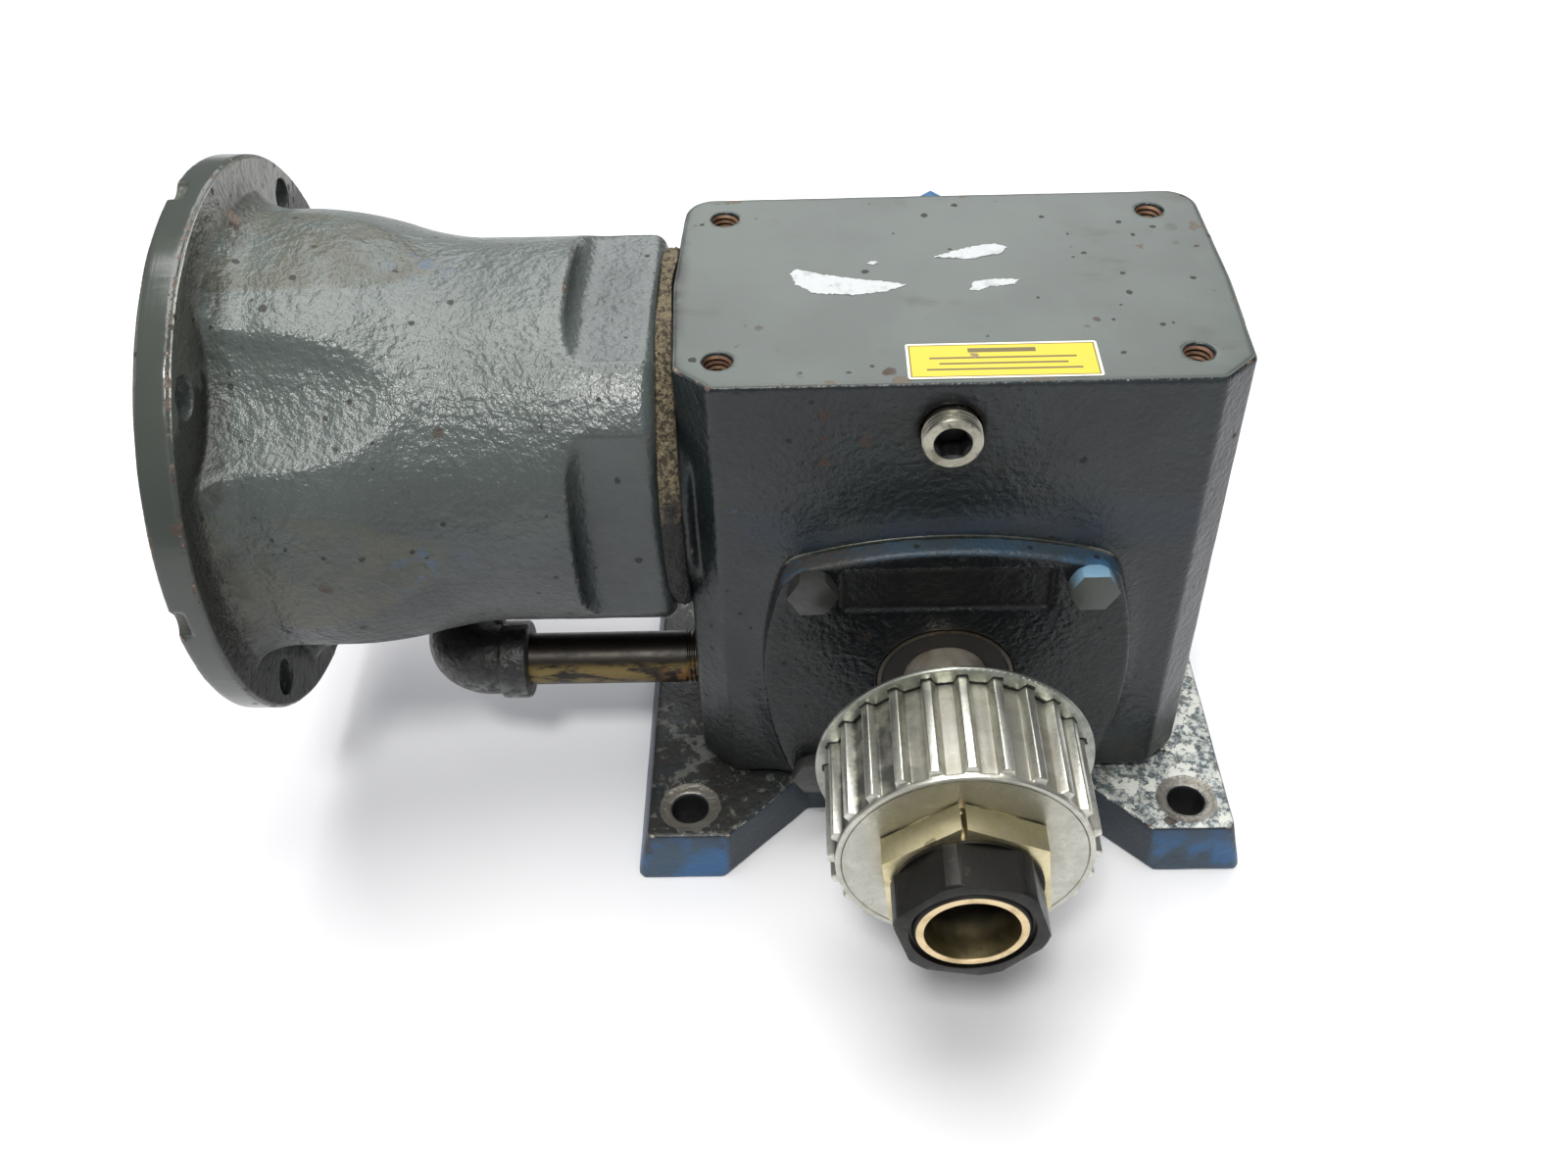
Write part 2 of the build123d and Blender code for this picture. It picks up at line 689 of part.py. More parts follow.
with BuildPart() as worm_shaft:
    with BuildSketch(radial_plane(0)):
        with BuildLine():
            Polyline(
                (INPUT_END_X, 0),
                (INPUT_END_X, INPUT_R - 0.8),
                (INPUT_END_X + 0.8, INPUT_R),
                (-84, INPUT_R),
                (-84, 11.1),
                (-66, 11.1),
                (-66, 12.5),
                (-50, 12.5),
                (-50, 15),
                (-WORM_CORE_HALF, 15),
                (-WORM_CORE_HALF, WORM_ROOT_R),
                (WORM_CORE_HALF, WORM_ROOT_R),
                (WORM_CORE_HALF, 14),
                (52, 14),
                (52, 10),
                (65, 10),
                (65, 0),
                close=True,
            )
        make_face()
    revolve(axis=Axis((0, 0, WORM_Z), (1, 0, 0)))
    with BuildLine(mode=Mode.PRIVATE) as thread_path:
        Helix(
            WORM_PITCH,
            2 * THREAD_HALF,
            WORM_PITCH_R,
            center=(-THREAD_HALF, 0, WORM_Z),
            direction=(1, 0, 0),
        )
    helix = thread_path.line
    start = helix @ 0
    outward = start - Vector(start.X, 0, WORM_Z)
    flank = tan(radians(PRESSURE_ANGLE))
    half_at_pitch = WORM_PITCH / 4 - BACKLASH / 2
    half_at_tip = half_at_pitch - MODULE * flank
    depth = 1.3 * MODULE
    half_at_root = half_at_pitch + depth * flank
    with BuildSketch(Plane(origin=start, x_dir=outward, z_dir=helix % 0)):
        with BuildLine():
            Polyline(
                (MODULE, -half_at_tip),
                (MODULE, half_at_tip),
                (-depth, half_at_root),
                (-depth, -half_at_root),
                close=True,
            )
        make_face()
    sweep(path=helix, is_frenet=True)
    with BuildSketch(Plane.XY.offset(WORM_Z + KEYWAY_TOP - COUPLING_KEY)):
        with Locations((INPUT_END_X, 0)):
            Rectangle(2 * KEYWAY_LENGTH, COUPLING_KEY)
    extrude(amount=COUPLING_KEY, mode=Mode.SUBTRACT)

worm_shaft.part.label = "worm_shaft"
export_step(worm_shaft.part, "parts/worm_shaft.step")


# ---- shaft seals and the retaining ring -----------------------------------------------


def against_worm(x):
    """Plane across the worm axis at x, with its normal towards the motor."""
    return Plane(origin=(x, 0, WORM_Z), x_dir=(0, -1, 0), z_dir=(-1, 0, 0))


LIP_GAP = 0.25
SEALS = (
    ("output_seal", facing_front(-SEAL_BACK), OUTPUT_R, SEAL_R, 8.0),
    ("input_seal", against_worm(-70.0), 11.1, INPUT_SEAT_R, 7.0),
)
for seal_name, plane, shaft_r, outer_r, width in SEALS:
    case_inner = outer_r - 1.2
    with BuildPart() as seal_case:
        add(tube(plane, case_inner, outer_r, width))
        add(tube(plane, shaft_r + 3.5, outer_r, 1.0))
    seal_case.part.label = seal_name + "_case"
    export_step(seal_case.part, f"parts/{seal_name}_case.step")

    with BuildPart() as seal_lip:
        add(tube(plane.offset(1.0), shaft_r + 2.6, case_inner, width - 1.8))
        add(tube(plane.offset(width - 2.6), shaft_r + LIP_GAP, shaft_r + 2.6, 1.8))
    seal_lip.part.label = seal_name + "_lip"
    export_step(seal_lip.part, f"parts/{seal_name}_lip.step")

RING_OUTER_R = INPUT_SEAT_R + 1.4
RING_INNER_R = 23.0
with BuildPart() as retaining_ring:
    with BuildSketch(along_worm(RING_GROOVE_X + 0.1)):
        Circle(RING_OUTER_R)
        Circle(RING_INNER_R, mode=Mode.SUBTRACT)
        with Locations((0, -RING_OUTER_R)):
            Rectangle(13, 12, mode=Mode.SUBTRACT)
        with Locations((-8, -RING_INNER_R + 1.2), (8, -RING_INNER_R + 1.2)):
            Circle(2.6)
            Circle(1.1, mode=Mode.SUBTRACT)
    extrude(amount=1.8)

retaining_ring.part.label = "input_retaining_ring"
export_step(retaining_ring.part, "parts/input_retaining_ring.step")


# ---- jaw coupling inside the adapter --------------------------------------------------

JAW_R = 26.95
GEAR_HUB_X = -120.3
HUB_LENGTH = 25.4
SPIDER_LENGTH = 12.7
JAW_CLEARANCE = 0.5
JAW_INNER_R = 12.4
SCREW_R = 3.175
GEAR_HUB_FACE_X = GEAR_HUB_X - HUB_LENGTH
MOTOR_HUB_FACE_X = GEAR_HUB_FACE_X - SPIDER_LENGTH
MOTOR_HUB_X = MOTOR_HUB_FACE_X - HUB_LENGTH


def sectors(plane, inner_r, outer_r, span, count, first):
    """Equal ring sectors about the plane's origin, the first one centred on an angle."""
    half = radians(span / 2)
    reach = 2 * outer_r
    corner_x, corner_y = reach * cos(half), reach * sin(half)
    with BuildSketch(plane) as fan:
        with PolarLocations(0, count, start_angle=first):
            Polygon((0, 0), (corner_x, -corner_y), (corner_x, corner_y), align=None)
        Circle(outer_r, mode=Mode.INTERSECT)
        Circle(inner_r, mode=Mode.SUBTRACT)
    return fan.sketch


def coupling_hub(body_x, face_x, jaw_length, first_jaw):
    """Jaw hub from its outer end to its jaw face, with a keyed bore and a screw hole."""
    low_x = min(body_x, face_x)
    with BuildPart() as hub:
        with BuildSketch(along_worm(low_x)):
            Circle(JAW_R)
        extrude(amount=HUB_LENGTH)
        chamfer(hub.edges().filter_by(GeomType.CIRCLE), 0.8)
        jaws = sectors(along_worm(face_x), JAW_INNER_R, JAW_R, 45, 3, first_jaw)
        extrude(jaws, amount=jaw_length)
        with BuildSketch(along_worm(low_x)):
            Circle(INPUT_R)
            with Locations((0, KEYWAY_TOP / 2)):
                Rectangle(COUPLING_KEY, KEYWAY_TOP)
        extrude(amount=HUB_LENGTH, mode=Mode.SUBTRACT)
        with BuildSketch(Plane.XY.offset(WORM_Z)):
            with Locations((low_x + HUB_LENGTH / 2, 0)):
                Circle(SCREW_R)
        extrude(amount=JAW_R + 1, mode=Mode.SUBTRACT)
    return hub.part


jaw_length = SPIDER_LENGTH - JAW_CLEARANCE
with BuildPart() as gear_side_hub:
    add(coupling_hub(GEAR_HUB_X, GEAR_HUB_FACE_X, -jaw_length, 90))

gear_side_hub.part.label = "gear_side_hub"
export_step(gear_side_hub.part, "parts/gear_side_hub.step")

with BuildPart() as motor_side_hub:
    add(coupling_hub(MOTOR_HUB_X, MOTOR_HUB_FACE_X, jaw_length, 30))

motor_side_hub.part.label = "motor_side_hub"
export_step(motor_side_hub.part, "parts/motor_side_hub.step")

with BuildPart() as coupling_spider:
    leg_length = SPIDER_LENGTH - 2 * JAW_CLEARANCE
    with BuildSketch(along_worm(MOTOR_HUB_FACE_X + JAW_CLEARANCE)):
        add(sectors(Plane.XY, 8, JAW_R - 0.6, 14, 6, 0))
        Circle(JAW_INNER_R - 0.2)
        Circle(8, mode=Mode.SUBTRACT)
    extrude(amount=leg_length)

coupling_spider.part.label = "coupling_spider"
export_step(coupling_spider.part, "parts/coupling_spider.step")

GEAR_HUB_MIDDLE = (GEAR_HUB_X + GEAR_HUB_FACE_X) / 2
MOTOR_HUB_MIDDLE = (MOTOR_HUB_X + MOTOR_HUB_FACE_X) / 2
KEY_SEAT = WORM_Z + KEYWAY_TOP - COUPLING_KEY
with BuildPart() as coupling_key:
    with BuildSketch(Plane.XY.offset(KEY_SEAT)):
        with Locations((GEAR_HUB_MIDDLE + 1, 0)):
            Rectangle(19, COUPLING_KEY)
    extrude(amount=COUPLING_KEY)

coupling_key.part.label = "coupling_key"
export_step(coupling_key.part, "parts/coupling_key.step")

with BuildPart() as coupling_set_screws:
    with BuildSketch(Plane.XY.offset(WORM_Z + KEYWAY_TOP)):
        with Locations((GEAR_HUB_MIDDLE, 0), (MOTOR_HUB_MIDDLE, 0)):
            Circle(SCREW_R)
    extrude(amount=8)
    with BuildSketch(Plane.XY.offset(WORM_Z + KEYWAY_TOP + 5)):
        with Locations((GEAR_HUB_MIDDLE, 0), (MOTOR_HUB_MIDDLE, 0)):
            RegularPolygon(1.6, 6, major_radius=False)
    extrude(amount=3, mode=Mode.SUBTRACT)

coupling_set_screws.part.label = "coupling_set_screws"
export_step(coupling_set_screws.part, "parts/coupling_set_screws.step")


# ---- timing pulley --------------------------------------------------------------------

FLANGE_T = 1.6
FLANGE_FACE = PULLEY_BACK - FLANGE_T
PULLEY_HUB_R = 31.0
TOOTH_TIP_HALF = 1.25
TOOTH_ROOT_HALF = 2.45
TOOTH_SINK = 0.6
TOOTH_END = 125.0
FRONT_RIM_R = 35.2
FACE_STEP_R = 33.5

with BuildPart() as timing_pulley:
    with BuildSketch(facing_front(-PULLEY_BACK)):
        Circle(PULLEY_ROOT_R)
        with PolarLocations(PULLEY_ROOT_R, PULLEY_TEETH, start_angle=90):
            ridge_h = PULLEY_TIP_R - PULLEY_ROOT_R
            Polygon(
                (-TOOTH_SINK, -TOOTH_ROOT_HALF),
                (ridge_h, -TOOTH_TIP_HALF),
                (ridge_h, TOOTH_TIP_HALF),
                (-TOOTH_SINK, TOOTH_ROOT_HALF),
                align=None,
            )
    extrude(amount=TOOTH_END - PULLEY_BACK)
    with BuildSketch(facing_front(-FLANGE_FACE)):
        Circle(PULLEY_HUB_R)
    extrude(amount=FLANGE_T)
    with BuildSketch(facing_front(-TOOTH_END)):
        Circle(FRONT_RIM_R)
    extrude(amount=PULLEY_FRONT - TOOTH_END)
    with BuildSketch(facing_front(-PULLEY_FRONT)):
        Circle(FACE_STEP_R)
    extrude(amount=-0.4, mode=Mode.SUBTRACT)
    with BuildSketch(facing_front(-FLANGE_FACE)):
        Circle(BUSHING_R)
    extrude(amount=PULLEY_FRONT - FLANGE_FACE, mode=Mode.SUBTRACT)

timing_pulley.part.label = "timing_pulley"
export_step(timing_pulley.part, "parts/timing_pulley.step")

with BuildPart() as pulley_flange:
    add(tube(facing_front(-FLANGE_FACE), PULLEY_HUB_R, 40.0, FLANGE_T))
    rim_edges = pulley_flange.edges().filter_by(GeomType.CIRCLE).group_by(SortBy.RADIUS)[-1]
    fillet(rim_edges, 0.6)

pulley_flange.part.label = "pulley_flange"
export_step(pulley_flange.part, "parts/pulley_flange.step")


# ---- keyless bushing ------------------------------------------------------------------

output_section = Plane(origin=(0, 0, OUTPUT_Z), x_dir=(0, -1, 0), z_dir=(1, 0, 0))
output_axis = Axis((0, 0, OUTPUT_Z), (0, 1, 0))
CONE_BACK = 95.0
CONE_FRONT = 122.0
CONE_BACK_R = 18.4
CONE_FRONT_R = 16.6
SLEEVE_R = 15.8
END_CHAMFER = 1.1
SLIT = 1.5

with BuildPart() as bushing_sleeve:
    with BuildSketch(output_section):
        with BuildLine():
            Polyline(
                (CONE_BACK, OUTPUT_R),
                (CONE_BACK, CONE_BACK_R),
                (CONE_FRONT, CONE_FRONT_R),
                (CONE_FRONT + 1, SLEEVE_R),
                (NUT_FACE - END_CHAMFER, SLEEVE_R),
                (NUT_FACE, SLEEVE_R - END_CHAMFER),
                (NUT_FACE, OUTPUT_R),
                close=True,
            )
        make_face()
    revolve(axis=output_axis)
    with BuildSketch(facing_front(-CONE_BACK)):
        with Locations((0, SLEEVE_R)):
            Rectangle(SLIT, 12)
    extrude(amount=CONE_FRONT - CONE_BACK + 6, mode=Mode.SUBTRACT)

bushing_sleeve.part.label = "bushing_sleeve"
export_step(bushing_sleeve.part, "parts/bushing_sleeve.step")

HEX_RING_R = 25.3
with BuildPart() as bushing_ring:
    with BuildSketch(output_section):
        with BuildLine():
            Polyline(
                (CONE_BACK, CONE_BACK_R),
                (CONE_BACK, BUSHING_R),
                (PULLEY_FRONT, BUSHING_R),
                (PULLEY_FRONT, CONE_FRONT_R),
                (CONE_FRONT, CONE_FRONT_R),
                close=True,
            )
        make_face()
    revolve(axis=output_axis)
    with BuildSketch(facing_front(-PULLEY_FRONT)):
        RegularPolygon(HEX_RING_R, 6, rotation=96)
        Circle(CONE_FRONT_R, mode=Mode.SUBTRACT)
    extrude(amount=HEX_RING_FACE - PULLEY_FRONT)
    with BuildSketch(facing_front(-CONE_BACK)):
        with Locations((-2.2, HEX_RING_R)):
            Rectangle(SLIT, 2 * (HEX_RING_R - SLEEVE_R))
    extrude(amount=HEX_RING_FACE - CONE_BACK, mode=Mode.SUBTRACT)

bushing_ring.part.label = "bushing_ring"
export_step(bushing_ring.part, "parts/bushing_ring.step")

NUT_FLATS = 38.1
with BuildPart() as bushing_nut:
    with BuildSketch(facing_front(-NUT_BACK)):
        RegularPolygon(NUT_FLATS / 2, 6, major_radius=False, rotation=107)
        Circle(21, mode=Mode.INTERSECT)
    extrude(amount=NUT_FACE - NUT_BACK)
    chamfer(bushing_nut.faces().sort_by(Axis.Y)[0].edges().filter_by(GeomType.CIRCLE), 0.7)
    with BuildSketch(facing_front(-HEX_RING_FACE)):
        Circle(20.4)
    extrude(amount=NUT_BACK - HEX_RING_FACE)
    with BuildSketch(facing_front(-HEX_RING_FACE)):
        Circle(SLEEVE_R)
    extrude(amount=NUT_FACE - HEX_RING_FACE, mode=Mode.SUBTRACT)
    with BuildSketch(facing_front(-NUT_FACE)):
        Circle(SLEEVE_R + 0.9)
    extrude(amount=-1.5, mode=Mode.SUBTRACT)

bushing_nut.part.label = "bushing_nut"
export_step(bushing_nut.part, "parts/bushing_nut.step")


# ---- pipe plugs -----------------------------------------------------------------------

FILLER_FACE = 56.0
with BuildPart() as filler_plug:
    with BuildSketch(facing_filler(-44)):
        Circle(PLUG_THREAD_R)
    extrude(amount=HOUSING_HALF_Y - 44)
    with BuildSketch(facing_filler(-HOUSING_HALF_Y)):
        Circle(PLUG_THREAD_R + 0.25)
    extrude(amount=FILLER_FACE - HOUSING_HALF_Y)
    chamfer(filler_plug.faces().sort_by(Axis.Y)[0].edges(), 0.6)
    with Locations(facing_filler(-FILLER_FACE).location):
        Cone(4.3, 6.4, 2.1, mode=Mode.SUBTRACT)
    with BuildSketch(facing_filler(-FILLER_FACE)):
        RegularPolygon(4.35, 6, major_radius=False)
    extrude(amount=-8, mode=Mode.SUBTRACT)

filler_plug.part.label = "filler_plug"
export_step(filler_plug.part, "parts/filler_plug.step")

VENT_HEAD = 51.0
with BuildPart() as vent_plug:
    with BuildSketch(facing_front(44, VENT_Z)):
        Circle(PLUG_THREAD_R)
    extrude(amount=44 - VENT_HEAD)
    with BuildSketch(facing_front(VENT_HEAD, VENT_Z)):
        RegularPolygon(9.5, 6, rotation=90)
    extrude(amount=-11)
    chamfer(vent_plug.faces().sort_by(Axis.Y)[-1].edges(), 1)

vent_plug.part.label = "vent_plug"
export_step(vent_plug.part, "parts/vent_plug.step")


# ---- drain pipe -----------------------------------------------------------------------

PIPE_BORE_R = 6.2
THREAD_OUT_X = -81.5
THREAD_IN_X = -70.0
ELBOW_MOUTH_X = ELBOW_X + ELBOW_REACH
ELBOW_MOUTH_Y = PIPE_Y + ELBOW_REACH
SOCKET_DEPTH = 10.0
ELBOW_BODY_R = 11.5
ELBOW_BORE_R = 7.2
BAND_R = 12.9
BAND_LENGTH = 9.4
PLUG_SQUARE = 11.0


def across_pipe(x):
    """Plane across the drain pipe at x, with its normal towards the elbow."""
    return Plane(origin=(x, PIPE_Y, PIPE_Z), x_dir=(0, -1, 0), z_dir=(-1, 0, 0))


def across_branch(y):
    """Plane across the elbow's second leg at y, with its normal towards the elbow."""
    return Plane(origin=(ELBOW_X, y, PIPE_Z), x_dir=(1, 0, 0), z_dir=(0, -1, 0))


def socket_band(plane):
    """Rounded band around the mouth of one elbow socket."""
    with BuildPart() as band:
        with BuildSketch(plane):
            Circle(BAND_R)
        extrude(amount=BAND_LENGTH)
        fillet(band.edges().filter_by(GeomType.CIRCLE), 1.2)
    return band.part


with BuildPart() as drain_nipple:
    add(tube(across_pipe(THREAD_OUT_X), 0, PIPE_R, THREAD_OUT_X - ELBOW_MOUTH_X + SOCKET_DEPTH))
    add(tube(across_pipe(THREAD_IN_X), 0, PIPE_THREAD_R, THREAD_IN_X - THREAD_OUT_X))
    with BuildSketch(across_pipe(THREAD_IN_X)):
        Circle(PIPE_BORE_R)
    extrude(amount=90, mode=Mode.SUBTRACT)

drain_nipple.part.label = "drain_nipple"
export_step(drain_nipple.part, "parts/drain_nipple.step")

with BuildPart() as drain_elbow:
    with BuildLine() as centre_line:
        first_leg = Line((ELBOW_MOUTH_X, PIPE_Y, PIPE_Z), (ELBOW_X + 12, PIPE_Y, PIPE_Z))
        bend = TangentArc(first_leg @ 1, (ELBOW_X, PIPE_Y + 12, PIPE_Z), tangent=first_leg % 1)
        Line(bend @ 1, (ELBOW_X, ELBOW_MOUTH_Y, PIPE_Z))
    with BuildSketch(across_pipe(ELBOW_MOUTH_X)):
        Circle(ELBOW_BODY_R)
    sweep()
    add(socket_band(across_pipe(ELBOW_MOUTH_X)))
    add(socket_band(across_branch(ELBOW_MOUTH_Y)))
    with BuildSketch(across_pipe(ELBOW_MOUTH_X)):
        Circle(ELBOW_BORE_R)
    sweep(path=centre_line.wire(), mode=Mode.SUBTRACT)
    add(tube(across_pipe(ELBOW_MOUTH_X), 0, PIPE_R, SOCKET_DEPTH), mode=Mode.SUBTRACT)
    add(tube(across_branch(ELBOW_MOUTH_Y), 0, PIPE_R, SOCKET_DEPTH), mode=Mode.SUBTRACT)

drain_elbow.part.label = "drain_elbow"
export_step(drain_elbow.part, "parts/drain_elbow.step")

with BuildPart() as elbow_plug:
    add(tube(across_branch(ELBOW_MOUTH_Y + 1.5), 0, PIPE_R, SOCKET_DEPTH - 1))
    with BuildSketch(across_branch(ELBOW_MOUTH_Y + 9)):
        Rectangle(PLUG_SQUARE, PLUG_SQUARE)
    extrude(amount=7.5)
    chamfer(elbow_plug.faces().sort_by(Axis.Y)[-1].edges(), 0.8)

elbow_plug.part.label = "elbow_plug"
export_step(elbow_plug.part, "parts/elbow_plug.step")


# ---- label ----------------------------------------------------------------------------

with BuildPart() as label_plate:
    with BuildSketch(Plane.XY.offset(HOUSING_TOP)):
        with Locations((11.9, -39.9)):
            RectangleRounded(51.4, 16.2, 0.8)
    extrude(amount=0.15)

label_plate.part.label = "label_plate"
export_step(label_plate.part, "parts/label_plate.step")
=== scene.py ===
import bmesh
import bpy
import math
import random
import numpy as np
from mathutils import Matrix, Vector, noise


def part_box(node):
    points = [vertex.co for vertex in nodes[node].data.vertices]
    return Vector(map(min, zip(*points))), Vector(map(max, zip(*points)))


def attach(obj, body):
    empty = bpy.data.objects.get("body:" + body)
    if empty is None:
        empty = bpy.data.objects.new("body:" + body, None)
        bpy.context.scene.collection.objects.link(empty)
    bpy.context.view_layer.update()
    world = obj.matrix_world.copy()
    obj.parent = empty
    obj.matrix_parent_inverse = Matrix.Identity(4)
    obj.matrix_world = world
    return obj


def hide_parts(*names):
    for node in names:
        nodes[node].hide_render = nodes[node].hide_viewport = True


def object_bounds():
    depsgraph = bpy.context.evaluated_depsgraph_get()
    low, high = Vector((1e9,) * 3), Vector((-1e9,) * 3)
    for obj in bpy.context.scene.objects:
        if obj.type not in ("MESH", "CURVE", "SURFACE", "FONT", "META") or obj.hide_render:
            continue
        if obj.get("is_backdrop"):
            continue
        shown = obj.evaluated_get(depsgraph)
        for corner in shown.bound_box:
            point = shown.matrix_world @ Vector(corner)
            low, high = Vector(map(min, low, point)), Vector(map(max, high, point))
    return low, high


# An old right angle worm gear reducer on a pale studio floor. Metres, +Z up, and the frame
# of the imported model: the output shaft leaves at -Y and the motor face looks to -X.

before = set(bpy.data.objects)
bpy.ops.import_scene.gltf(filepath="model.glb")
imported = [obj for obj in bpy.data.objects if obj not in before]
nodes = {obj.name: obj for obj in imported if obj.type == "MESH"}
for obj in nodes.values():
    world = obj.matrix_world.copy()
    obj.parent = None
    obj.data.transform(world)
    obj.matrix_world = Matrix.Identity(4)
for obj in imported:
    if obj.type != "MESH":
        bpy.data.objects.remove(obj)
scene = bpy.context.scene
cad_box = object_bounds()

MM = 0.001
STILL = "gearbox_frame"
OUTPUT = "output_train"
WORM = "worm_train"

housing_low, housing_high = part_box("housing")
base_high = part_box("base")[1]
adapter_low, adapter_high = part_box("motor_adapter")
shaft_low, shaft_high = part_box("output_shaft")
TOP_Z = housing_high[2]
BASE_TOP_Z = base_high[2]
OUTPUT_Z = (shaft_low[2] + shaft_high[2]) / 2
WORM_Z = (adapter_low[2] + adapter_high[2]) / 2
MOTOR_FACE_X = adapter_low[0]
ADAPTER_END_X = adapter_high[0]
FLANGE_R = (adapter_high[1] - adapter_low[1]) / 2
PULLEY_FRONT_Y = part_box("timing_pulley")[0][1]
plug_low, plug_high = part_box("filler_plug")
PLUG_X = (plug_low[0] + plug_high[0]) / 2
PLUG_Z = (plug_low[2] + plug_high[2]) / 2
PLUG_FACE_Y = plug_low[1]
nipple_low, nipple_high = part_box("drain_nipple")
PIPE_Y = (nipple_low[1] + nipple_high[1]) / 2
PIPE_Z = (nipple_low[2] + nipple_high[2]) / 2

FLANGE_BACK_X = MOTOR_FACE_X + 10.2 * MM
SCALLOP_AT = 97.3 * MM
REGISTER_WALL_R = 53 * MM
FOOT_HOLE_X = 81 * MM
FOOT_HOLE_Y = 62 * MM
TOP_HOLE_X = 64.2 * MM
TOP_HOLE_Y = 37.6 * MM
TOP_HOLE_R = 3.97 * MM
COARSE_PITCH = 1.59 * MM
PIPE_PITCH = 1.41 * MM
PIPE_THREAD_R = 8.1 * MM
PIPE_END_X = -76.5 * MM
PANEL_X = -1.4 * MM
PANEL_Z = 111.9 * MM
TEETH = 24.0


# ---- camera, floor and light ----------------------------------------------------------


def place_camera():
    """Camera at the height, turn and tilt that the object is seen from."""
    turn, pitch, roll = (math.radians(a) for a in (-1.22, 43.18, -1.89))
    forward = Vector((
        math.sin(turn) * math.cos(pitch),
        math.cos(turn) * math.cos(pitch),
        -math.sin(pitch),
    ))
    right = Vector((math.cos(turn), -math.sin(turn), 0))
    up = right.cross(forward)
    rolled_right = math.cos(roll) * right + math.sin(roll) * up
    rolled_up = math.cos(roll) * up - math.sin(roll) * right
    data = bpy.data.cameras.new("camera")
    data.lens = 34.58
    data.clip_start = 0.01
    camera = bpy.data.objects.new("camera", data)
    axes = Matrix((rolled_right, rolled_up, -forward)).transposed()
    camera.matrix_world = Matrix.Translation((-0.04125, -0.3729, 0.4088)) @ axes.to_4x4()
    scene.collection.objects.link(camera)
    scene.camera = camera


def area_light(name, place, target, size, power, colour):
    """Soft square light aimed at a point."""
    data = bpy.data.lights.new(name, "AREA")
    data.size = size
    data.energy = power
    data.color = colour
    light = bpy.data.objects.new(name, data)
    aim = Vector(target) - Vector(place)
    light.rotation_euler = aim.to_track_quat("-Z", "Y").to_euler()
    light.location = place
    scene.collection.objects.link(light)


def light_scene():
    """Large soft lights overhead and behind, and a pale even surround."""
    middle = (-0.03, 0, 0.1)
    area_light("overhead", (-0.1, 0.15, 1.5), middle, 1.05, 24, (1.0, 0.99, 0.97))
    area_light("behind", (0.1, 1.5, 1.35), middle, 1.2, 16, (0.97, 0.98, 1.0))
    area_light("left", (-1.5, -0.1, 0.9), middle, 0.9, 4, (1.0, 0.99, 0.97))
    area_light("front", (0.4, -1.6, 0.9), middle, 1.4, 3, (0.98, 0.99, 1.0))
    area_light("ceiling", (-0.2, -0.86, 1.47), middle, 0.24, 14, (1.0, 1.0, 0.97))
    world = bpy.data.worlds.new("surround")
    world.use_nodes = True
    sky = world.node_tree.nodes["Background"]
    sky.inputs["Color"].default_value = (0.93, 0.95, 1.0, 1)
    sky.inputs["Strength"].default_value = 0.2
    scene.world = world
    scene.view_settings.view_transform = "Standard"


# ---- node materials -------------------------------------------------------------------


def srgb(red, green, blue):
    """Display colour, each channel 0 to 255, as a linear RGBA value."""
    linear = []
    for channel in (red, green, blue):
        c = channel / 255
        linear.append(c / 12.92 if c <= 0.04045 else ((c + 0.055) / 1.055) ** 2.4)
    return (*linear, 1.0)


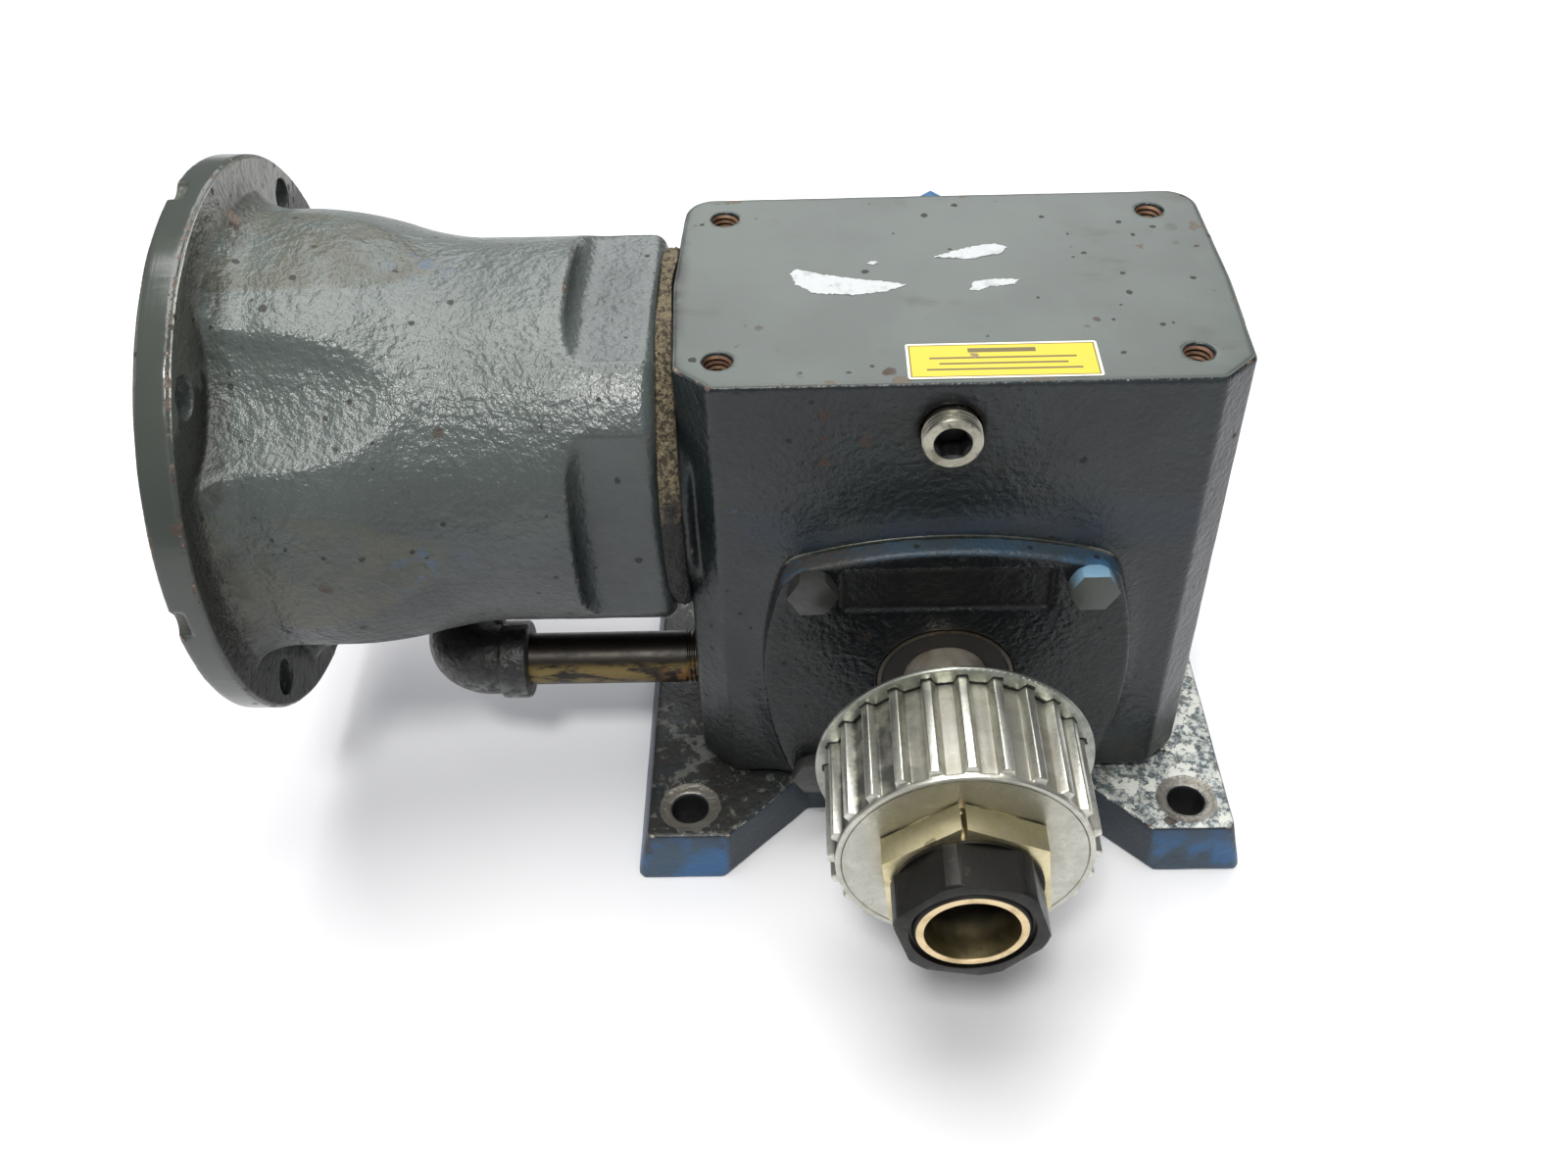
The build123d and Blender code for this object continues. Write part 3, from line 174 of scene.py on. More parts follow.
class Surface:
    """A node material built up in layers over the whole object's own coordinates."""

    def __init__(self, name, colour, roughness=0.5, metallic=0.0):
        self.material = bpy.data.materials.new(name)
        self.material.use_nodes = True
        self.tree = self.material.node_tree
        self.tree.nodes.clear()
        self.shader = self.tree.nodes.new("ShaderNodeBsdfPrincipled")
        place = self.tree.nodes.new("ShaderNodeTexCoord")
        self.place = place.outputs["Object"]
        self.facing = place.outputs["Normal"]
        self.x, self.y, self.z = self.split(self.place)
        self.face_x, self.face_y, self.face_z = self.split(self.facing)
        self.colour, self.roughness, self.metallic = colour, roughness, metallic
        self.height = None

    def feed(self, socket, value):
        """Links a socket or sets a constant."""
        if isinstance(value, bpy.types.NodeSocket):
            self.tree.links.new(value, socket)
        else:
            socket.default_value = value

    def split(self, vector):
        node = self.tree.nodes.new("ShaderNodeSeparateXYZ")
        self.feed(node.inputs[0], vector)
        return node.outputs

    def math(self, operation, a, b=0.0):
        node = self.tree.nodes.new("ShaderNodeMath")
        node.operation = operation
        self.feed(node.inputs[0], a)
        self.feed(node.inputs[1], b)
        return node.outputs[0]

    def plus(self, a, b):
        return self.math("ADD", a, b)

    def minus(self, a, b):
        return self.math("SUBTRACT", a, b)

    def absolute(self, value):
        return self.math("ABSOLUTE", value)

    def times(self, first, *others):
        for other in others:
            first = self.math("MULTIPLY", first, other)
        return first

    def flip(self, mask):
        return self.minus(1.0, mask)

    def both(self, a, b):
        return self.math("MAXIMUM", a, b)

    def step(self, value, low, high):
        """Mask from 0 at low to 1 at high."""
        node = self.tree.nodes.new("ShaderNodeMapRange")
        node.interpolation_type = "SMOOTHSTEP"
        self.feed(node.inputs[0], value)
        flipped = low > high
        node.inputs[1].default_value = high if flipped else low
        node.inputs[2].default_value = low if flipped else high
        node.inputs[3].default_value = 1.0 if flipped else 0.0
        node.inputs[4].default_value = 0.0 if flipped else 1.0
        return node.outputs[0]

    def band(self, value, low, high, soft):
        """Mask that is 1 between low and high."""
        rise = self.step(value, low - soft, low + soft)
        fall = self.step(value, high + soft, high - soft)
        return self.times(rise, fall)

    def vector(self, operation, a, b):
        node = self.tree.nodes.new("ShaderNodeVectorMath")
        node.operation = operation
        self.feed(node.inputs[0], a)
        self.feed(node.inputs[1], b)
        return node.outputs["Value" if operation in ("LENGTH", "DISTANCE") else "Vector"]

    def noise(self, size, detail=3.0, rough=0.55, stretch=(1, 1, 1), seed=0.0):
        """Cloudy value around 0.5 with features of a size in metres."""
        node = self.tree.nodes.new("ShaderNodeTexNoise")
        node.noise_dimensions = "4D"
        vector = self.place
        if stretch != (1, 1, 1):
            vector = self.vector("DIVIDE", vector, stretch)
        self.feed(node.inputs["Vector"], vector)
        node.inputs["W"].default_value = seed
        node.inputs["Scale"].default_value = 1 / size
        node.inputs["Detail"].default_value = detail
        node.inputs["Roughness"].default_value = rough
        return node.outputs[0]

    def cloud(self, low, high, *shape, **more):
        """Mask of noise patches, 0 below low and 1 above high."""
        return self.step(self.noise(*shape, **more), low, high)

    def specks(self, size, share, seed=0.0, warp=0.35):
        """Mask of scattered ragged spots: share is the part of the cells that hold one."""
        bend = self.tree.nodes.new("ShaderNodeTexNoise")
        self.feed(bend.inputs["Vector"], self.place)
        bend.inputs["Scale"].default_value = 2.6 / size
        bend.inputs["Detail"].default_value = 3
        shift = self.vector("MULTIPLY", bend.outputs["Color"], (warp * size,) * 3)
        vector = self.vector("ADD", self.place, shift)
        cell = self.tree.nodes.new("ShaderNodeTexVoronoi")
        cell.voronoi_dimensions = "4D"
        self.feed(cell.inputs["Vector"], vector)
        cell.inputs["Scale"].default_value = 1 / size
        cell.inputs["W"].default_value = seed
        chance = self.split(cell.outputs["Color"])[0]
        reach = self.math("MULTIPLY", self.minus(chance, 1 - share), 0.42 / share)
        inside = self.minus(reach, cell.outputs["Distance"])
        return self.step(inside, -0.02, 0.05)

    def attribute(self, name):
        node = self.tree.nodes.new("ShaderNodeAttribute")
        node.attribute_name = name
        return node.outputs["Fac"]

    def mix(self, mask, a, b):
        node = self.tree.nodes.new("ShaderNodeMix")
        node.data_type = "RGBA"
        self.feed(node.inputs[0], mask)
        self.feed(node.inputs[6], a)
        self.feed(node.inputs[7], b)
        return node.outputs[2]

    def blend(self, mask, a, b):
        node = self.tree.nodes.new("ShaderNodeMix")
        self.feed(node.inputs[0], mask)
        self.feed(node.inputs[2], a)
        self.feed(node.inputs[3], b)
        return node.outputs[0]

    def from_axis(self, a, b, centre_a, centre_b):
        """Distance from a line along the third axis."""
        across = self.minus(a, centre_a)
        along = self.minus(b, centre_b)
        square = self.plus(self.times(across, across), self.times(along, along))
        return self.math("SQRT", square)

    def layer(self, mask, colour=None, roughness=None, metallic=None, lift=None):
        """Lays one more coat, stain or chip over what is there, where all masks say so."""
        if isinstance(mask, tuple):
            mask = self.times(*mask)
        if colour is not None:
            self.colour = self.mix(mask, self.colour, colour)
        if roughness is not None:
            self.roughness = self.blend(mask, self.roughness, roughness)
        if metallic is not None and metallic != self.metallic:
            self.metallic = self.blend(mask, self.metallic, metallic)
        if lift is not None:
            self.raise_by(self.times(mask, lift))

    def raise_by(self, height):
        """Adds to the surface relief, in metres."""
        self.height = height if self.height is None else self.plus(self.height, height)

    def done(self):
        shader = self.shader
        self.feed(shader.inputs["Base Color"], self.colour)
        self.feed(shader.inputs["Roughness"], self.roughness)
        self.feed(shader.inputs["Metallic"], self.metallic)
        if self.height is not None:
            bump = self.tree.nodes.new("ShaderNodeBump")
            bump.inputs["Strength"].default_value = 1.0
            bump.inputs["Distance"].default_value = 1.0
            self.feed(bump.inputs["Height"], self.height)
            self.feed(shader.inputs["Normal"], bump.outputs[0])
        output = self.tree.nodes.new("ShaderNodeOutputMaterial")
        self.feed(output.inputs["Surface"], shader.outputs[0])
        return self.material


PRIMER = srgb(98, 86, 76)
RUST = srgb(58, 41, 32)
# near-black used for grime and for painted shade in hollows
GRIME_AND_SHADE = srgb(20, 18, 15)
BARE_IRON = srgb(150, 148, 142)


def cast_paint(name, tone, deep, peel=1.0):
    """Semi-gloss paint over a rough casting, with stains and an orange-peel surface."""
    s = Surface(name, tone, 0.27)
    s.layer(s.cloud(0.42, 0.66, 0.035, 4), deep, 0.33)
    s.layer((s.cloud(0.45, 0.75, 0.0045, 3, seed=2), 0.35), deep)
    s.raise_by(s.times(s.noise(0.0019, 2.5, 0.6, seed=1), 0.00062 * peel))
    s.raise_by(s.times(s.noise(0.007, 2, seed=4), 0.0009 * peel * peel))
    return s


def chips(s, amount=1.0, seed=0.0):
    """Chips down to primer and iron along the edges, scattered dark specks, and grime with
    painted shade in the hollows.
    """
    edge = s.attribute("edge")
    ragged = s.noise(0.0035, 5, 0.65, seed=seed + 3)
    worn = s.step(s.plus(s.times(edge, 0.4 * amount), ragged), 0.8, 0.84)
    s.layer(worn, s.mix(s.cloud(0.4, 0.6, 0.006, seed=seed), PRIMER, RUST), 0.65, 0.0, -0.00006)
    core = s.step(s.plus(s.times(edge, 0.42 * amount), ragged), 0.92, 0.97)
    s.layer(core, BARE_IRON, 0.4, 0.9)
    crowd = s.cloud(0.44, 0.62, 0.03, 3, seed=seed + 9)
    s.layer((s.specks(0.0058, 0.16 * amount, seed), crowd, 0.9), RUST, 0.7, 0.0, -0.00006)
    s.layer((s.specks(0.0032, 0.14 * amount, seed + 5), 0.85), GRIME_AND_SHADE, 0.7, 0.0, -0.00005)
    s.layer((s.specks(0.011, 0.05 * amount, seed + 6), 0.8), PRIMER, 0.7, 0.0, -0.00005)
    # Painted shade in the hollows: the grime colour is laid where the surface lies in a corner,
    # partly real grime and partly the shade that falls there.
    hollow = s.attribute("hollow")
    s.layer((hollow, s.cloud(0.3, 0.55, 0.012, 4, seed=seed + 7), 0.9), GRIME_AND_SHADE, 0.55)
    return s


def housing_paint():
    s = cast_paint("housing_paint", srgb(29, 36, 38), srgb(21, 26, 28), 0.62)
    s.shader.inputs["Specular IOR Level"].default_value = 0.42
    top = s.times(s.step(s.z, TOP_Z - 0.6 * MM, TOP_Z - 0.2 * MM), s.step(s.face_z, 0.8, 0.97))
    green_grey = srgb(67, 75, 69)
    s.layer(top, s.mix(s.cloud(0.4, 0.65, 0.04, 4, seed=9), green_grey, srgb(59, 66, 61)), 0.33)
    s.height = s.blend(top, s.height, s.times(s.noise(0.0009, 2, stretch=(6, 1, 1)), 0.00003))
    smear = s.times(top, s.cloud(0.56, 0.74, 0.02, 5, 0.7, (1.7, 1, 1), 12))
    s.layer((smear, 0.6), srgb(60, 55, 47), 0.5)
    scratch = s.times(top, s.cloud(0.72, 0.78, 0.0016, 2, stretch=(14, 1, 1), seed=5))
    s.layer((scratch, 0.5), srgb(112, 120, 112), 0.4)
    scrape = s.times(top, s.cloud(0.72, 0.77, 0.0018, 3, stretch=(1, 9, 1), seed=7))
    s.layer((scrape, 0.6), srgb(50, 44, 38), 0.5)
    border = s.both(
        s.step(s.absolute(s.y), 43 * MM, 49 * MM), s.step(s.x, 69 * MM, 78 * MM)
    )
    spots = s.step(s.plus(s.noise(0.007, 3, 0.5, seed=33), s.times(border, 0.12)), 0.71, 0.73)
    s.layer((top, spots), srgb(84, 74, 62), 0.6, 0.0, -0.00006)
    low = s.step(s.z, BASE_TOP_Z + 70 * MM, BASE_TOP_Z)
    soot = s.step(s.plus(s.noise(0.022, 5, 0.6, seed=8), s.times(low, 0.3)), 0.62, 0.85)
    s.layer((soot, s.flip(top), 0.6), GRIME_AND_SHADE, 0.5)
    left = s.step(s.x, housing_low[0] + 6 * MM, housing_low[0] + 1 * MM)
    s.layer((left, s.cloud(0.38, 0.6, 0.01, 4, seed=15), 0.85), GRIME_AND_SHADE, 0.45)
    # Dark ring around the filler plug: partly grime and partly painted shadow around the plug
    # hole.
    round_plug = s.from_axis(s.x, s.z, PLUG_X, PLUG_Z)
    ragged = s.times(s.noise(0.006, 4, seed=18), 0.006)
    ring = s.step(s.plus(round_plug, ragged), 15.5 * MM, 11.5 * MM)
    s.layer((ring, s.step(s.y, -48 * MM, -49 * MM)), srgb(12, 11, 10), 0.5)
    arch = s.times(
        s.band(s.z, OUTPUT_Z + 47 * MM, OUTPUT_Z + 60 * MM, 5 * MM),
        s.cloud(0.42, 0.62, 0.02, 4, 0.6, (2, 1, 1), 23),
        s.step(s.y, -47 * MM, -49.5 * MM),
    )
    s.layer((arch, 0.7), srgb(28, 40, 54), 0.36)
    patch = s.times(s.cloud(0.68, 0.72, 0.017, 4, 0.6, seed=21), s.flip(top))
    s.layer((patch, 0.5), srgb(44, 76, 100), 0.4)
    return chips(s, 1.0).done()


def adapter_paint():
    s = cast_paint("adapter_paint", srgb(50, 56, 56), srgb(38, 43, 44), 1.1)
    radius = s.from_axis(s.y, s.z, 0, WORM_Z)
    neck = s.step(s.x, ADAPTER_END_X - 34 * MM, ADAPTER_END_X - 14 * MM)
    s.height = s.blend(s.times(neck, 0.5), s.height, 0.0)
    # Painted light: the adapter is lighter towards its top, where the light from above falls.
    up = s.step(s.z, WORM_Z - 20 * MM, WORM_Z + 60 * MM)
    s.layer((up, s.flip(s.times(neck, 0.5)), 0.62), srgb(96, 104, 100))
    # Painted shade on the downward-facing surfaces of the adapter.
    under = s.step(s.plus(s.face_z, s.noise(0.03, 4, seed=3)), 0.3, -0.3)
    s.layer((under, 0.5), srgb(46, 45, 41), 0.45)
    nearest = s.from_axis(s.y, s.z, -SCALLOP_AT, WORM_Z)
    for y, z in ((SCALLOP_AT, 0), (0, SCALLOP_AT), (0, -SCALLOP_AT)):
        nearest = s.math("MINIMUM", nearest, s.from_axis(s.y, s.z, y, WORM_Z + z))
    scallop = s.times(s.step(nearest, 39.5 * MM, 37.5 * MM), s.step(s.x, -132 * MM, -150 * MM))
    s.layer((scallop, s.cloud(0.3, 0.6, 0.012, 4, seed=44), 0.85), srgb(72, 73, 62), 0.45)
    s.raise_by(s.times(scallop, s.noise(0.0018, 2, seed=46), 0.0005))
    tip = s.times(s.step(nearest, 40 * MM, 37 * MM), s.band(s.x, -156 * MM, -134 * MM, 5 * MM))
    s.layer((tip, s.cloud(0.5, 0.62, 0.006, 3, seed=48), 0.6), srgb(48, 78, 108), 0.35)
    rim = s.times(
        s.step(s.x, FLANGE_BACK_X + 0.4 * MM, FLANGE_BACK_X),
        s.step(radius, FLANGE_R - 1.4 * MM, FLANGE_R - 0.5 * MM),
    )
    turned = s.times(s.noise(0.0005, 2, stretch=(1, 30, 30)), 0.00002)
    s.height = s.blend(rim, s.height, turned)
    s.layer(rim, s.mix(s.noise(0.02, 4), srgb(54, 59, 56), srgb(66, 70, 65)), 0.2)
    back = s.times(
        s.band(s.x, FLANGE_BACK_X - 0.9 * MM, FLANGE_BACK_X + 1.2 * MM, 0.2 * MM),
        s.step(s.face_x, 0.6, 0.9),
        s.step(radius, FLANGE_R - 0.4 * MM, FLANGE_R - 1.2 * MM),
    )
    s.layer((back, 0.85), srgb(40, 42, 39), 0.5)
    root = s.times(
        s.band(s.x, FLANGE_BACK_X - 1 * MM, FLANGE_BACK_X + 7 * MM, 2.5 * MM),
        s.step(radius, FLANGE_R - 1 * MM, FLANGE_R - 4 * MM),
        s.cloud(0.34, 0.62, 0.012, 4, 0.6, seed=36),
    )
    s.layer((root, 0.7), srgb(38, 38, 30), 0.5)
    crown = s.step(s.z, WORM_Z + 44 * MM, WORM_Z + 56 * MM)
    streaks = s.noise(0.0016, 4, 0.6, (1, 1, 9), 31)
    bared = s.step(s.plus(streaks, s.times(crown, 0.3)), 0.6, 0.7)
    s.layer((back, bared, crown), srgb(120, 121, 114), 0.36, 0.7)
    blue = s.cloud(0.69, 0.73, 0.02, 4, 0.6, seed=25)
    s.layer((blue, 0.35), srgb(46, 76, 100), 0.42)
    inward = s.plus(s.times(s.face_y, s.y), s.times(s.face_z, s.minus(s.z, WORM_Z)))
    inside = s.times(
        s.step(radius, 53.6 * MM, 52.8 * MM),
        s.step(s.x, ADAPTER_END_X - 8 * MM, ADAPTER_END_X - 10 * MM),
        s.step(inward, 0.002, -0.002),
    )
    s.layer(inside, srgb(60, 53, 47), 0.65)
    face = s.step(s.x, MOTOR_FACE_X + 0.5 * MM, MOTOR_FACE_X + 0.2 * MM)
    s.layer(face, s.mix(s.noise(0.02, 5), srgb(126, 122, 112), srgb(98, 92, 84)), 0.4, 0.8)
    groove = s.times(s.math("SINE", s.times(radius, 7000.0)), 0.000012)
    pitted = s.times(s.noise(0.003, 4, seed=52), 0.00006)
    s.height = s.blend(face, s.height, s.plus(groove, pitted))
    return chips(s, 1.15, 40).done()


def base_paint():
    s = cast_paint("base_paint", srgb(36, 46, 53), srgb(26, 31, 34), 0.6)
    side = s.step(s.face_z, 0.55, 0.25)
    s.layer((side, s.cloud(0.3, 0.55, 0.02, 3, seed=5)), srgb(46, 70, 90), 0.4)
    s.layer((side, s.cloud(0.46, 0.6, 0.014, 4, seed=21)), srgb(34, 84, 128), 0.4)
    recess = s.times(
        side,
        s.step(s.absolute(s.y), 75.4 * MM, 73.5 * MM),
        s.step(s.absolute(s.x), 97.6 * MM, 95 * MM),
    )
    s.layer(recess, s.mix(s.noise(0.012, 4, seed=23), srgb(26, 33, 39), srgb(44, 56, 66)), 0.5)
    top = s.step(s.face_z, 0.7, 0.95)
    s.layer((top, s.cloud(0.3, 0.5, 0.02, 4, seed=6)), srgb(28, 31, 31), 0.5)
    # Darker patches on the left of the top, under the adapter: partly dirt and partly painted
    # shadow of the adapter.
    left = s.step(s.x, -0.05, -0.07)
    darkened = s.times(top, left, s.cloud(0.36, 0.6, 0.009, 5, 0.65, seed=27))
    s.layer((darkened, 0.8), srgb(34, 30, 24), 0.5)
    right = s.step(s.x, 0.03, 0.072)
    rub = s.plus(s.noise(0.0042, 6, 0.7, seed=14), s.times(s.noise(0.016, 3, seed=17), 0.32))
    rub = s.plus(rub, s.times(right, 0.11))
    s.layer((top, s.step(rub, 0.69, 0.76)), srgb(92, 94, 88), 0.4, 0.2, -0.00004)
    frost = s.times(top, right, s.cloud(0.34, 0.5, 0.005, 5, 0.7, seed=34))
    grain = s.cloud(0.42, 0.58, 0.0018, 4, 0.7, seed=35)
    s.layer((frost, 0.85), s.mix(grain, srgb(200, 203, 197), srgb(80, 94, 102)), 0.5)
    flakes = s.plus(s.noise(0.006, 4, 0.6, seed=19), s.times(right, 0.07))
    flaked = s.times(top, right, s.step(flakes, 0.6, 0.62))
    s.layer(flaked, srgb(206, 208, 200), 0.45, 0.0, -0.00005)
    pits = s.times(top, right, s.specks(0.0028, 0.42, 36))
    s.layer((pits, 0.8), srgb(34, 38, 40), 0.5)
    hole_x = s.minus(s.absolute(s.x), FOOT_HOLE_X)
    hole_y = s.minus(s.absolute(s.y), FOOT_HOLE_Y)
    around = s.from_axis(hole_x, hole_y, 0, 0)
    ring = s.times(
        top,
        s.step(s.plus(around, s.times(s.noise(0.004, 3, seed=29), 0.0016)), 10.9 * MM, 10.4 * MM),
        s.step(around, 5.9 * MM, 6.2 * MM),
    )
    s.layer(ring, s.mix(s.noise(0.006, 4), srgb(150, 148, 140), srgb(96, 91, 82)), 0.38, 0.7)
    # Painted shade: near-black inside the bolt holes.
    s.layer(s.step(around, 6.1 * MM, 5.8 * MM), srgb(14, 14, 14), 0.6, 0.0)
    edge = s.attribute("edge")
    bright = s.step(s.plus(s.times(edge, 0.5), s.noise(0.005, 5, 0.7, seed=2)), 0.88, 0.95)
    s = chips(s, 1.0, 60)
    s.layer(bright, srgb(170, 172, 168), 0.36, 0.7)
    under = s.step(s.face_z, -0.7, -0.95)
    s.layer(under, s.mix(s.noise(0.02, 5), srgb(96, 88, 80), srgb(70, 60, 52)), 0.55, 0.4)
    return s.done()


def cover_paint():
    s = cast_paint("cover_paint", srgb(16, 20, 22), srgb(10, 12, 13), 0.75)
    s.shader.inputs["Specular IOR Level"].default_value = 0.32
    upper = s.step(s.z, OUTPUT_Z + 30 * MM, OUTPUT_Z + 40 * MM)
    wall = s.times(upper, s.step(s.face_z, 0.2, 0.45))
    worn = s.cloud(0.4, 0.6, 0.02, 3, seed=5)
    s.layer(wall, s.mix(worn, srgb(42, 60, 74), srgb(46, 56, 62)), 0.42)
    right = s.times(wall, s.step(s.x, 24 * MM, 42 * MM), s.cloud(0.45, 0.6, 0.008, 3, seed=7))
    s.layer((right, 0.8), srgb(50, 86, 116), 0.4)
    dirty = s.cloud(0.4, 0.56, 0.006, 5, 0.7, seed=9)
    left = s.times(wall, s.step(s.x, -8 * MM, -34 * MM), dirty)
    s.layer((left, 0.85), srgb(52, 48, 42), 0.55)
    bloom = s.times(s.step(s.x, 8 * MM, 44 * MM), s.cloud(0.36, 0.6, 0.02, 4, seed=12))
    s.layer((bloom, s.flip(wall), 0.5), srgb(33, 35, 35), 0.42)
    s.layer((s.cloud(0.55, 0.75, 0.009, 5, seed=8), s.flip(wall), 0.6), GRIME_AND_SHADE, 0.5)
    panel = s.times(
        s.step(s.absolute(s.minus(s.x, PANEL_X)), 30.6 * MM, 30.2 * MM),
        s.step(s.absolute(s.minus(s.z, PANEL_Z)), 8.0 * MM, 7.6 * MM),
        s.step(s.y, -59.0 * MM, -58.4 * MM),
        s.step(s.y, -56 * MM, -57 * MM),
    )
    s.layer((panel, 0.85), srgb(10, 11, 12), 0.45)
    radius = s.from_axis(s.x, s.z, 0, OUTPUT_Z)
    bore = s.times(s.step(radius, 20.9 * MM, 20.5 * MM), s.step(s.y, -60 * MM, -59 * MM))
    s.layer(bore, srgb(14, 12, 10), 0.4)
    return chips(s, 0.7, 80).done()


def bare_metal(name, tone, dark, roughness, grain=(1, 1, 1), seed=0.0):
    """Machined metal with cloudy tarnish, fine tool lines, and grime in small spots."""
    s = Surface(name, tone, roughness, 1.0)
    s.layer(s.cloud(0.42, 0.68, 0.009, 4, 0.6, seed=seed), dark, roughness + 0.12)
    s.layer((s.cloud(0.55, 0.75, 0.0012, 3, seed=seed + 1), 0.4), dark)
    s.raise_by(s.times(s.noise(0.0007, 3, stretch=grain, seed=seed), 0.00003))
    return s


def steel():
    s = bare_metal("ground_steel", srgb(176, 176, 172), srgb(128, 124, 116), 0.26, (1, 1, 1), 3)
    s.layer((s.specks(0.006, 0.15, 3), 0.7), srgb(92, 66, 46), 0.5, 0.3)
    return s.done()


def shaft_steel():
    """Output shaft, turned along Y and brown with old oil near the seal."""
    s = bare_metal("shaft_steel", srgb(184, 184, 180), srgb(132, 122, 108), 0.24, (30, 1, 30), 6)
    near = s.step(s.y, -78 * MM, -62 * MM)
    oily = s.mix(s.cloud(0.4, 0.66, 0.008, 4), srgb(158, 150, 136), srgb(120, 108, 88))
    s.layer((near, 0.8), oily, 0.3, 0.5)
    return s.done()


def bronze():
    s = bare_metal("gear_bronze", srgb(196, 146, 78), srgb(150, 104, 54), 0.32, (1, 1, 1), 9)
    return s.done()


def iron():
    s = bare_metal("grey_iron", srgb(112, 110, 106), srgb(78, 74, 70), 0.45, (1, 1, 1), 12)
    return s.done()


def polished():
    return bare_metal("bearing_balls", srgb(214, 216, 218), srgb(186, 186, 184), 0.1).done()


def pulley_metal():
    """Mottled aluminium: dull and warm between the ridges, bright on their tops."""
    s = Surface("pulley_aluminium", srgb(206, 206, 197), 0.34, 1.0)
    s.layer(s.cloud(0.42, 0.66, 0.006, 5, 0.65), srgb(174, 173, 162), 0.44)
    s.layer((s.cloud(0.5, 0.72, 0.0014, 3, seed=4), 0.5), srgb(146, 143, 132), 0.42)
    radius = s.from_axis(s.x, s.z, 0, OUTPUT_Z)
    valley = s.times(
        s.step(radius, 36.2 * MM, 34.9 * MM),
        s.step(s.y, PULLEY_FRONT_Y + 0.3 * MM, PULLEY_FRONT_Y + 1.2 * MM),
    )
    s.layer((valley, 0.6), srgb(214, 211, 198), 0.46)
    s.layer((valley, s.cloud(0.42, 0.66, 0.006, 4, seed=7), 0.6), srgb(160, 155, 140), 0.5)
    streak = s.cloud(0.62, 0.75, 0.0012, 3, stretch=(1, 12, 1), seed=9)
    s.layer((streak, valley, 0.5), srgb(112, 104, 88), 0.5)
    # Valleys darker on the left side of the pulley.
    left = s.step(s.x, -6 * MM, -22 * MM)
    darker_left = s.times(valley, left, s.cloud(0.4, 0.56, 0.009, 4, seed=13))
    s.layer((darker_left, 0.8), srgb(96, 98, 98), 0.45)
    ring = s.times(s.math("SINE", s.times(radius, 9000.0)), 0.000006)
    front = s.step(s.y, PULLEY_FRONT_Y + 0.7 * MM, PULLEY_FRONT_Y + 0.5 * MM)
    dull = s.times(front, s.cloud(0.3, 0.55, 0.008, 5, 0.65, seed=17))
    s.layer((dull, 0.7), srgb(178, 177, 168), 0.4)
    s.raise_by(s.times(front, ring))
    s.raise_by(s.times(s.noise(0.0016, 4, 0.65, seed=3), 0.00007))
    dents = s.specks(0.009, 0.2, 5)
    s.layer((dents, 0.4), srgb(140, 136, 126), 0.45, 1.0, -0.00006)
    return s.done()


def flange_metal():
    """Greyer flange, with a ragged black line hugging the toothed outline."""
    s = bare_metal("flange_steel", srgb(160, 163, 154), srgb(122, 125, 118), 0.36, (1, 1, 1), 60)
    radius = s.from_axis(s.x, s.z, 0, OUTPUT_Z)
    angle = s.math("ARCTAN2", s.minus(s.z, OUTPUT_Z), s.x)
    tooth = s.step(s.math("COSINE", s.times(angle, TEETH)), 0.1, 0.7)
    ragged = s.times(s.noise(0.004, 4, 0.65, seed=62), 0.0022)
    reach = s.plus(s.plus(ragged, s.times(tooth, 0.0026)), 34.3 * MM)
    gap = s.step(s.minus(radius, reach), 0.12 * MM, -0.12 * MM)
    s.layer(gap, srgb(12, 11, 10), 0.55, 0.0)
    s.layer((s.specks(0.007, 0.2, 63), 0.8), srgb(40, 38, 36), 0.5, 0.3)
    return s.done()


def zinc_metal():
    s = bare_metal("yellow_zinc", srgb(212, 202, 164), srgb(180, 171, 136), 0.36, (1, 1, 8), 20)
    s.layer((s.cloud(0.5, 0.7, 0.005, 4, seed=22), 0.4), srgb(206, 192, 134), 0.32)
    s.layer((s.specks(0.005, 0.14, 24), 0.6), srgb(96, 90, 72), 0.5)
    return s.done()


def gold_metal():
    """Pale gold face, with an oily brown bore that turns black deeper in as painted shade, and a
    dark outer edge.
    """
    s = bare_metal("gold_sleeve", srgb(222, 200, 160), srgb(184, 164, 124), 0.34, (1, 8, 1), 26)
    radius = s.from_axis(s.x, s.z, 0, OUTPUT_Z)
    bore = s.times(s.step(radius, 13.2 * MM, 12.9 * MM), s.step(s.y, -149.2 * MM, -148.8 * MM))
    oily = s.cloud(0.4, 0.6, 0.006, 4, seed=28)
    s.layer(bore, s.mix(oily, srgb(112, 102, 76), srgb(142, 130, 98)), 0.42)
    # Painted shade: the bore turns near-black deeper in.
    s.layer((bore, s.step(s.y, -144 * MM, -136 * MM), 0.9), srgb(20, 17, 12), 0.5, 0.3)
    rim = s.times(s.step(radius, 14.7 * MM, 14.9 * MM), s.step(s.y, -130 * MM, -134 * MM))
    s.layer(rim, srgb(14, 12, 10), 0.5, 0.2)
    return s.done()


def black_oxide():
    s = bare_metal("black_oxide", srgb(34, 33, 30), srgb(22, 21, 19), 0.36, (1, 4, 1), 30)
    s.metallic = 0.6
    s.layer((s.cloud(0.58, 0.72, 0.004, 5, seed=31), 0.4), srgb(66, 62, 52), 0.42)
    return s.done()


def worn_edge(name, tone, dark):
    """Edge of a dark piece, rubbed through in patches."""
    s = Surface(name, dark, 0.4, 0.8)
    s.layer(s.cloud(0.46, 0.6, 0.003, 5, 0.7), tone, 0.3, 1.0)
    return s.done()


